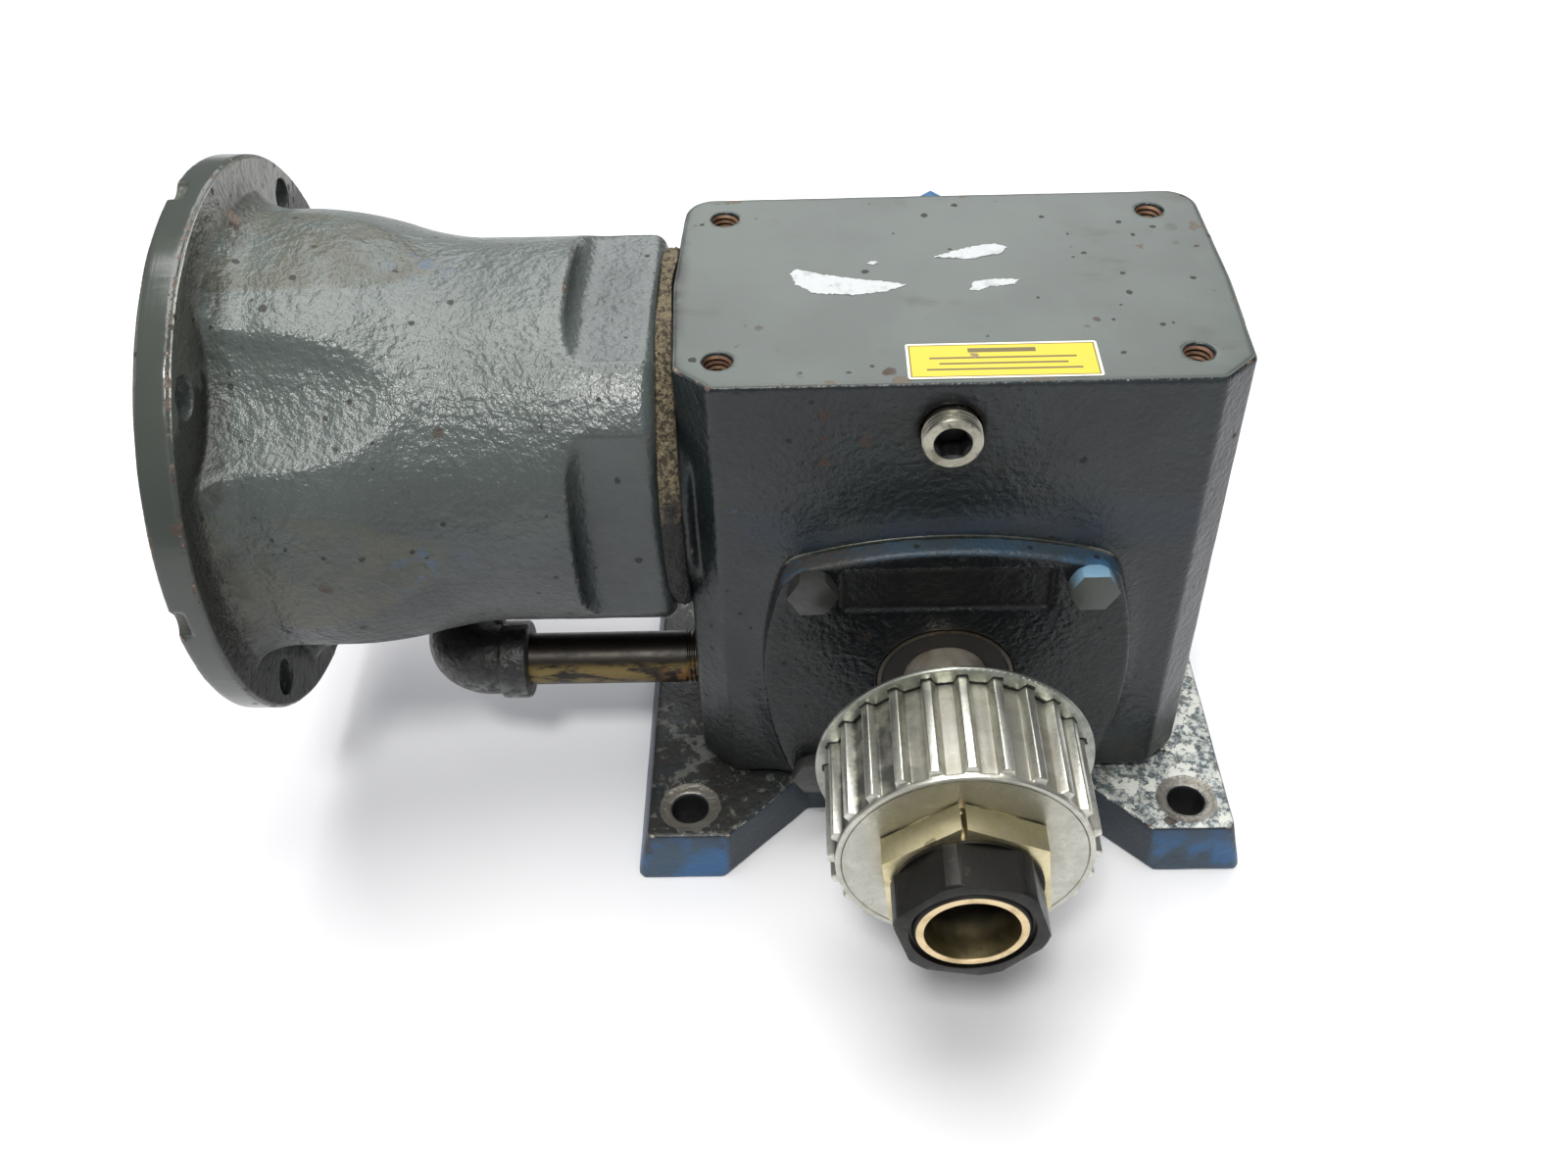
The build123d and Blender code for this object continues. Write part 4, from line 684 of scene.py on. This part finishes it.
def pipe_metal():
    """Dark oily pipe with a gold streak along its lower side, partly its old gold tint and partly
    a painted highlight.
    """
    s = bare_metal("dark_pipe", srgb(40, 33, 26), srgb(18, 14, 11), 0.36, (8, 1, 1), 33)
    s.metallic = 0.5
    # Painted highlight: a gold streak along the lower sides, partly the pipe's own old gold tint.
    lower = s.times(s.step(s.face_z, 0.62, 0.34), s.step(s.face_z, -0.6, -0.3))
    away = s.step(s.x, -84 * MM, -104 * MM)
    gold = s.step(s.plus(s.noise(0.004, 4, 0.65, (3.5, 1, 1), 35), s.times(away, 0.1)), 0.5, 0.62)
    s.layer((lower, gold, 0.85), srgb(118, 102, 60), 0.42, 0.6)
    near = s.times(s.step(s.x, -92 * MM, -86 * MM), s.cloud(0.46, 0.58, 0.004, 4, seed=38))
    s.layer((near, s.step(s.face_z, 0.5, 0.2), 0.8), srgb(120, 84, 44), 0.45, 0.5)
    s.layer((s.cloud(0.58, 0.68, 0.006, 5, seed=37), 0.8), srgb(12, 10, 8), 0.45, 0.2)
    return s.done()


def elbow_metal():
    """Black malleable iron, grey in patches on its lower, downward-facing side."""
    s = Surface("malleable_iron", srgb(46, 46, 46), 0.38, 0.2)
    s.layer(s.cloud(0.45, 0.65, 0.007, 4), srgb(26, 25, 24), 0.45)
    lower = s.step(s.plus(s.face_z, s.noise(0.01, 3, seed=6)), 0.75, 0.1)
    s.layer((lower, s.cloud(0.44, 0.58, 0.0035, 5, 0.7, seed=4), 0.85), srgb(124, 128, 126), 0.42)
    s.raise_by(s.times(s.noise(0.0022, 3, 0.6), 0.0008))
    return s.done()


def plug_metal():
    s = bare_metal("plug_steel", srgb(178, 176, 164), srgb(122, 118, 104), 0.3, (1, 6, 1), 40)
    s.layer((s.cloud(0.56, 0.68, 0.0024, 5, seed=41), 0.9), GRIME_AND_SHADE, 0.55, 0.2)
    # Painted shade: near-black down inside the hex socket.
    deep = s.step(s.from_axis(s.x, s.z, PLUG_X, PLUG_Z), 5.4 * MM, 5.1 * MM)
    s.layer(deep, srgb(7, 6, 6), 0.6, 0.0)
    return s.done()


def dark_bolts():
    s = Surface("bolt_paint", srgb(38, 39, 36), 0.34)
    s.layer(s.cloud(0.5, 0.68, 0.004, 4), srgb(28, 30, 29), 0.45)
    s.raise_by(s.times(s.noise(0.0018, 3), 0.00012))
    high = s.step(s.z, OUTPUT_Z + 30 * MM, OUTPUT_Z + 34 * MM)
    right = s.times(s.step(s.x, 32 * MM, 34 * MM), high)
    s.layer((right, 0.7), srgb(70, 74, 70), 0.4)
    s.layer((right, s.step(s.face_z, 0.4, 0.6)), srgb(104, 138, 160), 0.35)
    s.layer(s.specks(0.004, 0.25, 6), srgb(84, 70, 58), 0.6, 0.2)
    return s.done()


def plain_bolts():
    s = bare_metal("dull_steel", srgb(108, 104, 98), srgb(72, 64, 56), 0.42, (1, 1, 1), 45)
    return s.done()


def shim_metal():
    """Bright metal shim, clean only along the top."""
    s = bare_metal("bright_shim", srgb(196, 196, 184), srgb(130, 128, 118), 0.34)
    ragged = s.times(s.noise(0.008, 4, seed=5), 0.012)
    clean = s.step(s.plus(s.z, ragged), OUTPUT_Z + 48 * MM, OUTPUT_Z + 53 * MM)
    s.layer(s.flip(clean), srgb(26, 26, 25), 0.5, 0.1)
    return s.done()


def sealant():
    """Grainy tan sealant, black with grime low down."""
    s = Surface("tan_sealant", srgb(106, 95, 73), 0.85)
    s.layer(s.cloud(0.46, 0.56, 0.0018, 4, 0.75), srgb(48, 41, 30))
    s.layer(s.cloud(0.62, 0.7, 0.001, 3, seed=3), srgb(152, 142, 114))
    low = s.step(s.z, WORM_Z + 30 * MM, WORM_Z - 16 * MM)
    darkened = s.step(s.plus(s.noise(0.009, 4, seed=6), s.times(low, 0.45)), 0.6, 0.78)
    s.layer(darkened, srgb(18, 16, 13), 0.6)
    s.raise_by(s.times(s.noise(0.0016, 3, 0.7), 0.0022))
    return s.done()


def rubber(name, tone):
    s = Surface(name, tone, 0.6)
    s.layer(s.cloud(0.5, 0.7, 0.004, 4), srgb(46, 42, 38), 0.75)
    s.raise_by(s.times(s.noise(0.001, 2), 0.00004))
    return s.done()


def seal_case():
    s = bare_metal("seal_case", srgb(126, 122, 112), srgb(78, 66, 52), 0.36, (1, 1, 1), 50)
    return s.done()


def vent_paint():
    s = Surface("old_blue_paint", srgb(46, 94, 134), 0.42)
    s.layer(s.cloud(0.5, 0.7, 0.004, 4), srgb(40, 72, 98), 0.5)
    s.layer(s.specks(0.005, 0.3, 4), srgb(58, 50, 43), 0.65)
    s.raise_by(s.times(s.noise(0.002, 3), 0.00012))
    return s.done()


def label_film():
    """Plain yellow film with a thin dark border and three plain bars."""
    (left, front, _), (right, rear, _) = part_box("label_plate")
    s = Surface("yellow_film", srgb(196, 172, 24), 0.5)
    s.layer((s.cloud(0.45, 0.7, 0.006, 4), 0.25), srgb(178, 158, 30), 0.42)
    ink = srgb(34, 32, 24)
    half_x, half_y = (right - left) / 2, (rear - front) / 2
    u = s.absolute(s.minus(s.x, (left + right) / 2))
    v = s.minus(s.y, (front + rear) / 2)
    w = s.absolute(v)
    inset, line = 0.8 * MM, 0.12 * MM
    margin = s.both(
        s.step(u, half_x - 0.75 * MM, half_x - 0.65 * MM),
        s.step(w, half_y - 0.75 * MM, half_y - 0.65 * MM),
    )
    s.layer(margin, srgb(200, 200, 188))
    outer = s.both(
        s.band(u, half_x - inset - 0.3 * MM, half_x - inset, line),
        s.band(w, half_y - inset - 0.3 * MM, half_y - inset, line),
    )
    inner = s.times(
        s.step(u, half_x - 0.6 * MM, half_x - inset), s.step(w, half_y - 0.6 * MM, half_y - inset)
    )
    s.layer((outer, inner), ink)
    bars = ((4.6, 9.0, 1.0), (1.2, 19.5, 0.42), (-1.4, 17.0, 0.42), (-4.0, 20.5, 0.42))
    for height, length, thick in bars:
        row = s.band(v, (height - thick) * MM, (height + thick) * MM, line)
        s.layer((row, s.step(u, (length + 0.2) * MM, length * MM), 0.85), ink)
    s.layer(s.specks(0.006, 0.3, 5), srgb(120, 108, 70), 0.6)
    return s.done()


def torn_paper():
    s = Surface("torn_paper", srgb(176, 179, 180), 0.85)
    s.layer(s.cloud(0.5, 0.7, 0.004, 5, 0.7), srgb(150, 154, 155))
    s.layer(s.cloud(0.64, 0.7, 0.002, 4, 0.7, seed=4), srgb(90, 95, 91))
    s.raise_by(s.times(s.noise(0.0014, 4, 0.7), 0.00025))
    return s.done()


def floor_white():
    s = Surface("pale_floor", srgb(226, 226, 229), 0.6)
    s.layer((s.cloud(0.4, 0.7, 0.3, 4), 0.4), srgb(222, 222, 226))
    s.raise_by(s.times(s.noise(0.004, 3), 0.00003))
    return s.done()


# ---- shapes ---------------------------------------------------------------------------


def points_of(mesh):
    points = np.empty(3 * len(mesh.vertices), np.float32)
    mesh.vertices.foreach_get("co", points)
    return points.reshape(-1, 3).astype(float)


def normals_of(mesh):
    normals = np.empty(3 * len(mesh.vertices), np.float32)
    mesh.vertex_normals.foreach_get("vector", normals)
    return normals.reshape(-1, 3)


def move_points(mesh, points):
    mesh.vertices.foreach_set("co", points.astype(np.float32).ravel())
    mesh.update()


def edges_of(mesh):
    ends = np.empty(2 * len(mesh.edges), np.int32)
    mesh.edges.foreach_get("vertices", ends)
    return ends.reshape(-1, 2)


def neighbour_mean(values, edges):
    """Mean of the values at each point's neighbours."""
    a, b = edges[:, 0], edges[:, 1]
    size = len(values)
    count = np.bincount(edges.ravel(), minlength=size).clip(1)
    columns = [
        np.bincount(a, values[b, i], size) + np.bincount(b, values[a, i], size)
        for i in range(values.shape[1])
    ]
    return np.stack(columns, 1) / count[:, None]


def relax(points, edges, weight, rounds):
    """Draws each point towards its neighbours, as far as its weight says."""
    for _ in range(rounds):
        points = points + weight[:, None] * (neighbour_mean(points, edges) - points)
    return points


def store(mesh, name, values):
    attribute = mesh.attributes.new(name, "FLOAT", "POINT")
    attribute.data.foreach_set("value", values.astype(np.float32))


def mark_edges(mesh):
    """Stores how sharply each point stands out (edge) or lies in a corner (hollow)."""
    points, edges, normals = points_of(mesh), edges_of(mesh), normals_of(mesh)
    lengths = np.linalg.norm(points[edges[:, 0]] - points[edges[:, 1]], axis=1)
    size = len(points)
    total = np.bincount(edges.ravel(), np.repeat(lengths, 2), size)
    reach = total / np.bincount(edges.ravel(), minlength=size).clip(1)
    lift = ((points - neighbour_mean(points, edges)) * normals).sum(1) / reach.clip(1e-6)
    for _ in range(2):
        lift = 0.4 * lift + 0.6 * neighbour_mean(lift[:, None], edges)[:, 0]
    store(mesh, "edge", (lift / 0.16).clip(0, 1))
    store(mesh, "hollow", (-lift / 0.16).clip(0, 1))


def evaluated(mesh, *modifiers):
    """The mesh after some modifiers, each given as (type, settings)."""
    carrier = bpy.data.objects.new("carrier", mesh)
    scene.collection.objects.link(carrier)
    for kind, settings in modifiers:
        modifier = carrier.modifiers.new(kind, kind)
        for key, value in settings.items():
            setattr(modifier, key, value)
    graph = bpy.context.evaluated_depsgraph_get()
    result = bpy.data.meshes.new_from_object(carrier.evaluated_get(graph))
    bpy.data.objects.remove(carrier)
    return result


def joined_mesh(node):
    """Copy of a CAD node's mesh with its split corners joined."""
    work = bmesh.new()
    work.from_mesh(nodes[node].data)
    bmesh.ops.remove_doubles(work, verts=work.verts, dist=1e-6)
    work.verts.ensure_lookup_table()
    mesh = bpy.data.meshes.new(node)
    corners = [[v.index for v in f.verts] for f in work.faces]
    mesh.from_pydata([v.co[:] for v in work.verts], [], corners)
    work.free()
    return mesh


def mesh_of(name, verts, faces, outward=False):
    """New mesh, with its faces turned outward if asked."""
    mesh = bpy.data.meshes.new(name)
    mesh.from_pydata(verts, [], faces)
    if outward:
        work = bmesh.new()
        work.from_mesh(mesh)
        bmesh.ops.recalc_face_normals(work, faces=work.faces)
        work.to_mesh(mesh)
        work.free()
    return mesh


def add_piece(name, mesh, body, *materials):
    """Links a mesh as a piece that rides on a body."""
    piece = bpy.data.objects.new(name, mesh)
    scene.collection.objects.link(piece)
    mesh.materials.clear()
    for material in materials:
        mesh.materials.append(material)
    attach(piece, body)
    return piece


def stand_for(node, piece):
    """Shows a piece in place of a CAD node by hiding the node."""
    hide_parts(node)


def cast_piece(node, material, voxel, soften, wave, faces):
    """Casting in place of a CAD node: soft edges, slight waves, and its edges marked.

    soften takes the points and gives (weight, rounds) pairs for the relaxing.
    """
    mesh = evaluated(joined_mesh(node), ("REMESH", {"mode": "VOXEL", "voxel_size": voxel}))
    points, edges = points_of(mesh), edges_of(mesh)
    low, high = points.min(0), points.max(0)
    for weight, rounds in soften(points):
        points = relax(points, edges, weight, rounds)
    move_points(mesh, points)
    swell = np.array([noise.noise(Vector(p) * 90) for p in points])
    points = points + normals_of(mesh) * (wave * (swell - 0.6))[:, None]
    move_points(mesh, points.clip(low, high))
    ratio = faces / (2 * len(mesh.polygons))
    if ratio < 1:
        mesh = evaluated(mesh, ("DECIMATE", {"ratio": ratio}))
    mesh.shade_smooth()
    mark_edges(mesh)
    stand_for(node, add_piece("cast_" + node, mesh, STILL, material))


def bevelled_piece(node, body, width, *materials, segments=2, angle=32, sharp=34):
    """Machined piece in place of a CAD node, with its sharp corners broken."""
    settings = {
        "width": width,
        "segments": segments,
        "limit_method": "ANGLE",
        "angle_limit": math.radians(angle),
        "harden_normals": False,
    }
    if len(materials) > 1:
        settings["material"] = 1
    mesh = joined_mesh(node)
    for material in materials:
        mesh.materials.append(material)
    mesh = evaluated(mesh, ("BEVEL", settings))
    mesh.shade_smooth()
    mesh.set_sharp_from_angle(angle=math.radians(sharp))
    stand_for(node, add_piece("fine_" + node, mesh, body, *materials))


def dress(node, material):
    """Gives a CAD node its finished material."""
    for slot in nodes[node].material_slots:
        slot.material = material


# ---- castings -------------------------------------------------------------------------


def between(values, low, high, soft):
    """1 where the values lie between low and high, falling to 0 over soft."""
    rise = ((values - low) / soft + 0.5).clip(0, 1)
    fall = ((high - values) / soft + 0.5).clip(0, 1)
    return rise * fall


def soften_adapter(points):
    x, y, z = points.T
    radius = np.hypot(y, z - WORM_Z)
    outside = (radius > REGISTER_WALL_R).astype(float)
    neck = between(x, FLANGE_BACK_X + 2 * MM, -112 * MM, 3 * MM) * outside
    neck *= between(radius, 0, 76 * MM, 2 * MM)
    blend = between(x, -135 * MM, -96 * MM, 4 * MM) * outside
    yield 0.5 * neck, 22
    yield 0.5 * blend, 4
    yield np.full(len(points), 0.4), 2


def soften_housing(points):
    x, y, z = points.T
    outside = (np.abs(y) > 44 * MM) | (np.abs(x) > 70 * MM) | (z > TOP_Z - 4 * MM)
    cast = outside * between(z, 0, TOP_Z - 2.5 * MM, 2 * MM)
    yield 0.5 * cast, 5
    yield np.full(len(points), 0.4), 2


def soften_all(points):
    yield np.full(len(points), 0.45), 4


def build_castings():
    cover = cover_paint()
    for node, paint, voxel, soften, wave, faces in (
        ("motor_adapter", adapter_paint(), 0.8, soften_adapter, 0.12, 150000),
        ("housing", housing_paint(), 0.8, soften_housing, 0.10, 150000),
        ("base", base_paint(), 0.8, soften_all, 0.12, 90000),
        ("output_cover", cover, 0.7, soften_all, 0.10, 70000),
        ("rear_cover", cover, 0.7, soften_all, 0.10, 60000),
    ):
        cast_piece(node, paint, voxel * MM, soften, wave * MM, faces)


# ---- loose details --------------------------------------------------------------------


def thread(name, start, direction, radius, depth, pitch, length, material, body):
    """Screw thread as a helical ridge; a negative depth points it into the hole."""
    axis = Vector(direction)
    across = axis.orthogonal().normalized()
    third = axis.cross(across)
    steps = 28
    count = int(length / pitch * steps)
    base = radius - 0.05 * MM if depth > 0 else radius + 0.05 * MM
    profile = ((0.46, base), (0.08, radius + depth), (-0.08, radius + depth), (-0.46, base))
    verts, faces = [], []
    for i in range(count + 1):
        angle = 2 * math.pi * i / steps
        fade = min(1.0, i / 9, (count - i) / 9)
        for offset, r in profile:
            reach = base + (r - base) * fade
            along = pitch * (i / steps + 0.5 + offset)
            spoke = across * math.cos(angle) + third * math.sin(angle)
            verts.append(Vector(start) + axis * along + spoke * reach)
    for i in range(count):
        for k in range(4):
            a, b = 4 * i + k, 4 * i + (k + 1) % 4
            faces.append((a, b, b + 4, a + 4))
    faces.append((0, 1, 2, 3))
    faces.append(tuple(4 * count + k for k in (3, 2, 1, 0)))
    return add_piece(name, mesh_of(name, verts, faces, True), body, material)


def rusty_thread():
    s = bare_metal("rusty_thread", srgb(120, 92, 70), srgb(72, 42, 28), 0.55, (1, 1, 1), 55)
    s.metallic = 0.4
    return s.done()


def build_threads():
    rust = rusty_thread()
    for number, (sign_x, sign_y) in enumerate(((-1, -1), (-1, 1), (1, -1), (1, 1))):
        start = (sign_x * TOP_HOLE_X, sign_y * TOP_HOLE_Y, TOP_Z - 0.3 * MM)
        size = (TOP_HOLE_R, -0.55 * MM, COARSE_PITCH, 14 * MM)
        thread(f"top_thread_{number}", start, (0, 0, -1), *size, rust, STILL)
    size = (PIPE_THREAD_R, 0.4 * MM, PIPE_PITCH, 4.5 * MM)
    thread("nipple_thread", (PIPE_END_X, PIPE_Y, PIPE_Z), (-1, 0, 0), *size, pipe_metal(), STILL)


def build_filler_plug():
    """Threaded pipe plug with a countersunk hex socket."""
    steps = 72
    root, crest, hexagon = 7.55, 8.22, 4.35
    outside = [(10.0, root), (5.6, root)]
    for k in range(3):
        ridge = 4.9 - PIPE_PITCH / MM * k
        for lower, reach in ((0, root), (0.35, crest), (0.65, crest), (1.0, root)):
            outside.append((ridge - lower, reach))
    lip = crest - 0.1
    outside += [(0.95, root + 0.25), (0.8, lip), (0.35, lip), (0.0, crest - 0.5), (0.0, 5.3)]
    rings = [(depth, [reach] * steps) for depth, reach in outside]
    socket = []
    for i in range(steps):
        turn = math.radians(360 / steps * i) % math.radians(60) - math.radians(30)
        socket.append(hexagon / math.cos(turn))
    rings.append((0.75, [max(4.7, reach) for reach in socket]))
    rings.append((1.0, socket))
    rings.append((7.4, socket))
    verts, faces = [], []
    for depth, ring in rings:
        for i, reach in enumerate(ring):
            angle = 2 * math.pi * i / steps
            verts.append((
                PLUG_X + math.cos(angle) * reach * MM,
                PLUG_FACE_Y + depth * MM,
                PLUG_Z + math.sin(angle) * reach * MM,
            ))
    for k in range(len(rings) - 1):
        for i in range(steps):
            a, b = k * steps + i, k * steps + (i + 1) % steps
            faces.append((a, b, b + steps, a + steps))
    faces.append(tuple(range(steps - 1, -1, -1)))
    faces.append(tuple((len(rings) - 1) * steps + i for i in range(steps)))
    mesh = mesh_of("threaded_plug", verts, faces, True)
    mesh.shade_smooth()
    mesh.set_sharp_from_angle(angle=math.radians(30))
    stand_for("filler_plug", add_piece("threaded_plug", mesh, STILL, plug_metal()))


def build_sealant():
    """Bead of sealant squeezed out between the adapter and the housing."""
    inner, outer = 27 * MM, 54.8 * MM
    left = ADAPTER_END_X - 0.4 * MM
    around, across = 360, 14
    verts, faces = [], []
    for i in range(around):
        angle = 2 * math.pi * i / around
        spoke = Vector((0, math.cos(angle), math.sin(angle)))
        right = housing_low[0] + 0.3 * MM + 0.044 * abs(outer * spoke.y)
        middle, half = (left + right) / 2, (right - left) / 2
        ring = [(left, inner), (left, outer - 3 * MM)]
        for k in range(across + 1):
            turn = math.pi * k / across
            spot = Vector((math.cos(angle) * 9, math.sin(angle) * 9, k * 0.6))
            bulge = 1 + 0.55 * noise.noise(spot) + 0.3 * noise.noise(spot * 3.1)
            reach = outer - 2.2 * MM + 1.7 * MM * math.sin(turn) * bulge
            if spoke.z > 0:
                reach = min(reach, (TOP_Z - 0.4 * MM - WORM_Z) / spoke.z)
            ring.append((middle - half * math.cos(turn), reach))
        ring += [(right, outer - 3 * MM), (right, inner)]
        for x, reach in ring:
            point = spoke * reach
            verts.append((x, point.y, WORM_Z + point.z))
    size = across + 5
    for i in range(around):
        for k in range(size):
            a, b = i * size + k, i * size + (k + 1) % size
            c, d = (b + size) % len(verts), (a + size) % len(verts)
            faces.append((a, d, c, b))
    mesh = mesh_of("sealant_bead", verts, faces)
    mesh.shade_smooth()
    stand_for("adapter_gasket", add_piece("sealant_bead", mesh, STILL, sealant()))


# outlines of the scraps of paper, in mm over the top face
PAPER = {
    "a": ((-44.6, 5.5), (-42.9, 7.6), (-35.6, 4.6), (-23.9, 1.5), (-11.5, -1.6), (-17.2, -5.0),
          (-27.0, -6.6), (-38.0, -5.2), (-43.0, -0.3)),
    "b": ((-2.9, 12.9), (6.9, 17.5), (15.8, 19.9), (19.2, 17.5), (17.2, 14.3), (7.8, 11.4),
          (2.2, 12.2)),
    "c": ((6.2, -5.4), (7.4, -1.3), (13.8, 0.5), (20.6, -0.3), (19.0, -2.8), (12.0, -3.6),
          (9.0, -5.5)),
    "d": ((-22.4, 10.2), (-20.6, 11.3), (-19.0, 10.5), (-20.4, 9.6)),
}


def build_paper():
    """Scraps of torn paper left stuck to the top, with ragged edges."""
    paper = torn_paper()
    rng = random.Random(4)
    thickness = 0.12 * MM
    for name, outline in PAPER.items():
        ragged = []
        for (ax, ay), (bx, by) in zip(outline, outline[1:] + outline[:1]):
            steps = max(2, int(math.hypot(bx - ax, by - ay) / 0.7))
            for i in range(steps):
                t = i / steps
                jag = 0.32
                ragged.append((
                    (ax + (bx - ax) * t + rng.uniform(-jag, jag)) * MM,
                    (ay + (by - ay) * t + rng.uniform(-jag, jag)) * MM,
                ))
        centre_x = sum(p[0] for p in ragged) / len(ragged)
        centre_y = sum(p[1] for p in ragged) / len(ragged)
        rings = (1.0, 0.93, 0.7, 0.35)
        verts = []
        for ring in rings:
            for x, y in ragged:
                px, py = centre_x + (x - centre_x) * ring, centre_y + (y - centre_y) * ring
                curl = thickness * (1 + 1.1 * noise.noise(Vector((px * 300, py * 300, 0))))
                verts.append((px, py, TOP_Z + (curl if ring < 1 else 0.5 * curl)))
        verts.append((centre_x, centre_y, TOP_Z + thickness))
        size = len(ragged)
        under = len(verts)
        verts += [(x, y, TOP_Z - 0.02 * MM) for x, y in ragged]
        faces = []
        for ring in range(len(rings) - 1):
            for i in range(size):
                a, b = ring * size + i, ring * size + (i + 1) % size
                faces.append((a, b, b + size, a + size))
        last = (len(rings) - 1) * size
        for i in range(size):
            faces.append((last + i, last + (i + 1) % size, under - 1))
            faces.append((under + i, under + (i + 1) % size, (i + 1) % size, i))
        faces.append(tuple(under + i for i in reversed(range(size))))
        add_piece("paper_" + name, mesh_of("paper_" + name, verts, faces), STILL, paper)


def build_floor():
    half = 6.0
    corners = [(-half, -half, 0), (half, -half, 0), (half, half, 0), (-half, half, 0)]
    mesh = mesh_of("floor", corners, [(0, 1, 2, 3)])
    mesh.materials.append(floor_white())
    floor = bpy.data.objects.new("floor", mesh)
    scene.collection.objects.link(floor)
    floor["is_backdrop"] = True


def dress_nodes():
    """Materials of the CAD nodes that keep their own shape, and finer machined pieces."""
    bolts, dull = dark_bolts(), plain_bolts()
    ground, shaft, pulley = steel(), shaft_steel(), pulley_metal()
    zinc, gold = zinc_metal(), gold_metal()
    oxide, rubbed = black_oxide(), worn_edge("rubbed_oxide", srgb(84, 80, 68), srgb(42, 40, 35))
    shim, case = shim_metal(), seal_case()
    seal = rubber("seal_rubber", srgb(30, 29, 28))
    spider = rubber("spider_rubber", srgb(36, 36, 38))
    hub, wheel, balls = iron(), bronze(), polished()
    pipe, elbow = pipe_metal(), elbow_metal()

    worn = worn_edge("worn_bolt_edge", srgb(104, 102, 94), srgb(58, 58, 54))
    bevelled_piece("output_cover_bolts", STILL, 0.35 * MM, bolts, worn)
    bevelled_piece("rear_cover_bolts", STILL, 0.3 * MM, bolts)
    for node in ("base_bolts", "adapter_bolts"):
        bevelled_piece(node, STILL, 0.3 * MM, dull)
    bevelled_piece("timing_pulley", OUTPUT, 0.4 * MM, pulley, segments=3, angle=25)
    bevelled_piece("pulley_flange", OUTPUT, 0.2 * MM, flange_metal())
    bevelled_piece("bushing_ring", OUTPUT, 0.35 * MM, zinc)
    bevelled_piece("bushing_nut", OUTPUT, 0.25 * MM, oxide, rubbed, angle=20, sharp=16)
    bevelled_piece("bushing_sleeve", OUTPUT, 0.3 * MM, gold)
    bevelled_piece("vent_plug", STILL, 0.4 * MM, vent_paint())
    bevelled_piece("elbow_plug", STILL, 0.4 * MM, elbow)
    for node, material in (
        ("gear_side_hub", hub), ("motor_side_hub", hub), ("coupling_spider", spider)
    ):
        bevelled_piece(node, WORM, 0.4 * MM, material)

    by_ending = {
        "_race": ground, "_spacer": ground, "worm_shaft": ground, "wheel_key": ground,
        "coupling_key": ground, "input_retaining_ring": ground, "_balls": balls,
        "_seal_case": case, "_seal_lip": seal, "_cover_gasket": shim,
        "output_shaft": shaft, "worm_wheel": wheel, "wheel_hub": hub,
        "coupling_set_screws": dull, "drain_nipple": pipe, "drain_elbow": elbow,
        "label_plate": label_film(),
    }
    for node in nodes:
        for ending, material in by_ending.items():
            if node.endswith(ending):
                dress(node, material)


place_camera()
light_scene()
build_floor()
build_castings()
build_threads()
build_filler_plug()
build_sealant()
build_paper()
dress_nodes()

boxes = {"cad": cad_box, "visual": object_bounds()}
{k: [[float(c) for c in corner] for corner in v] for k, v in boxes.items()}
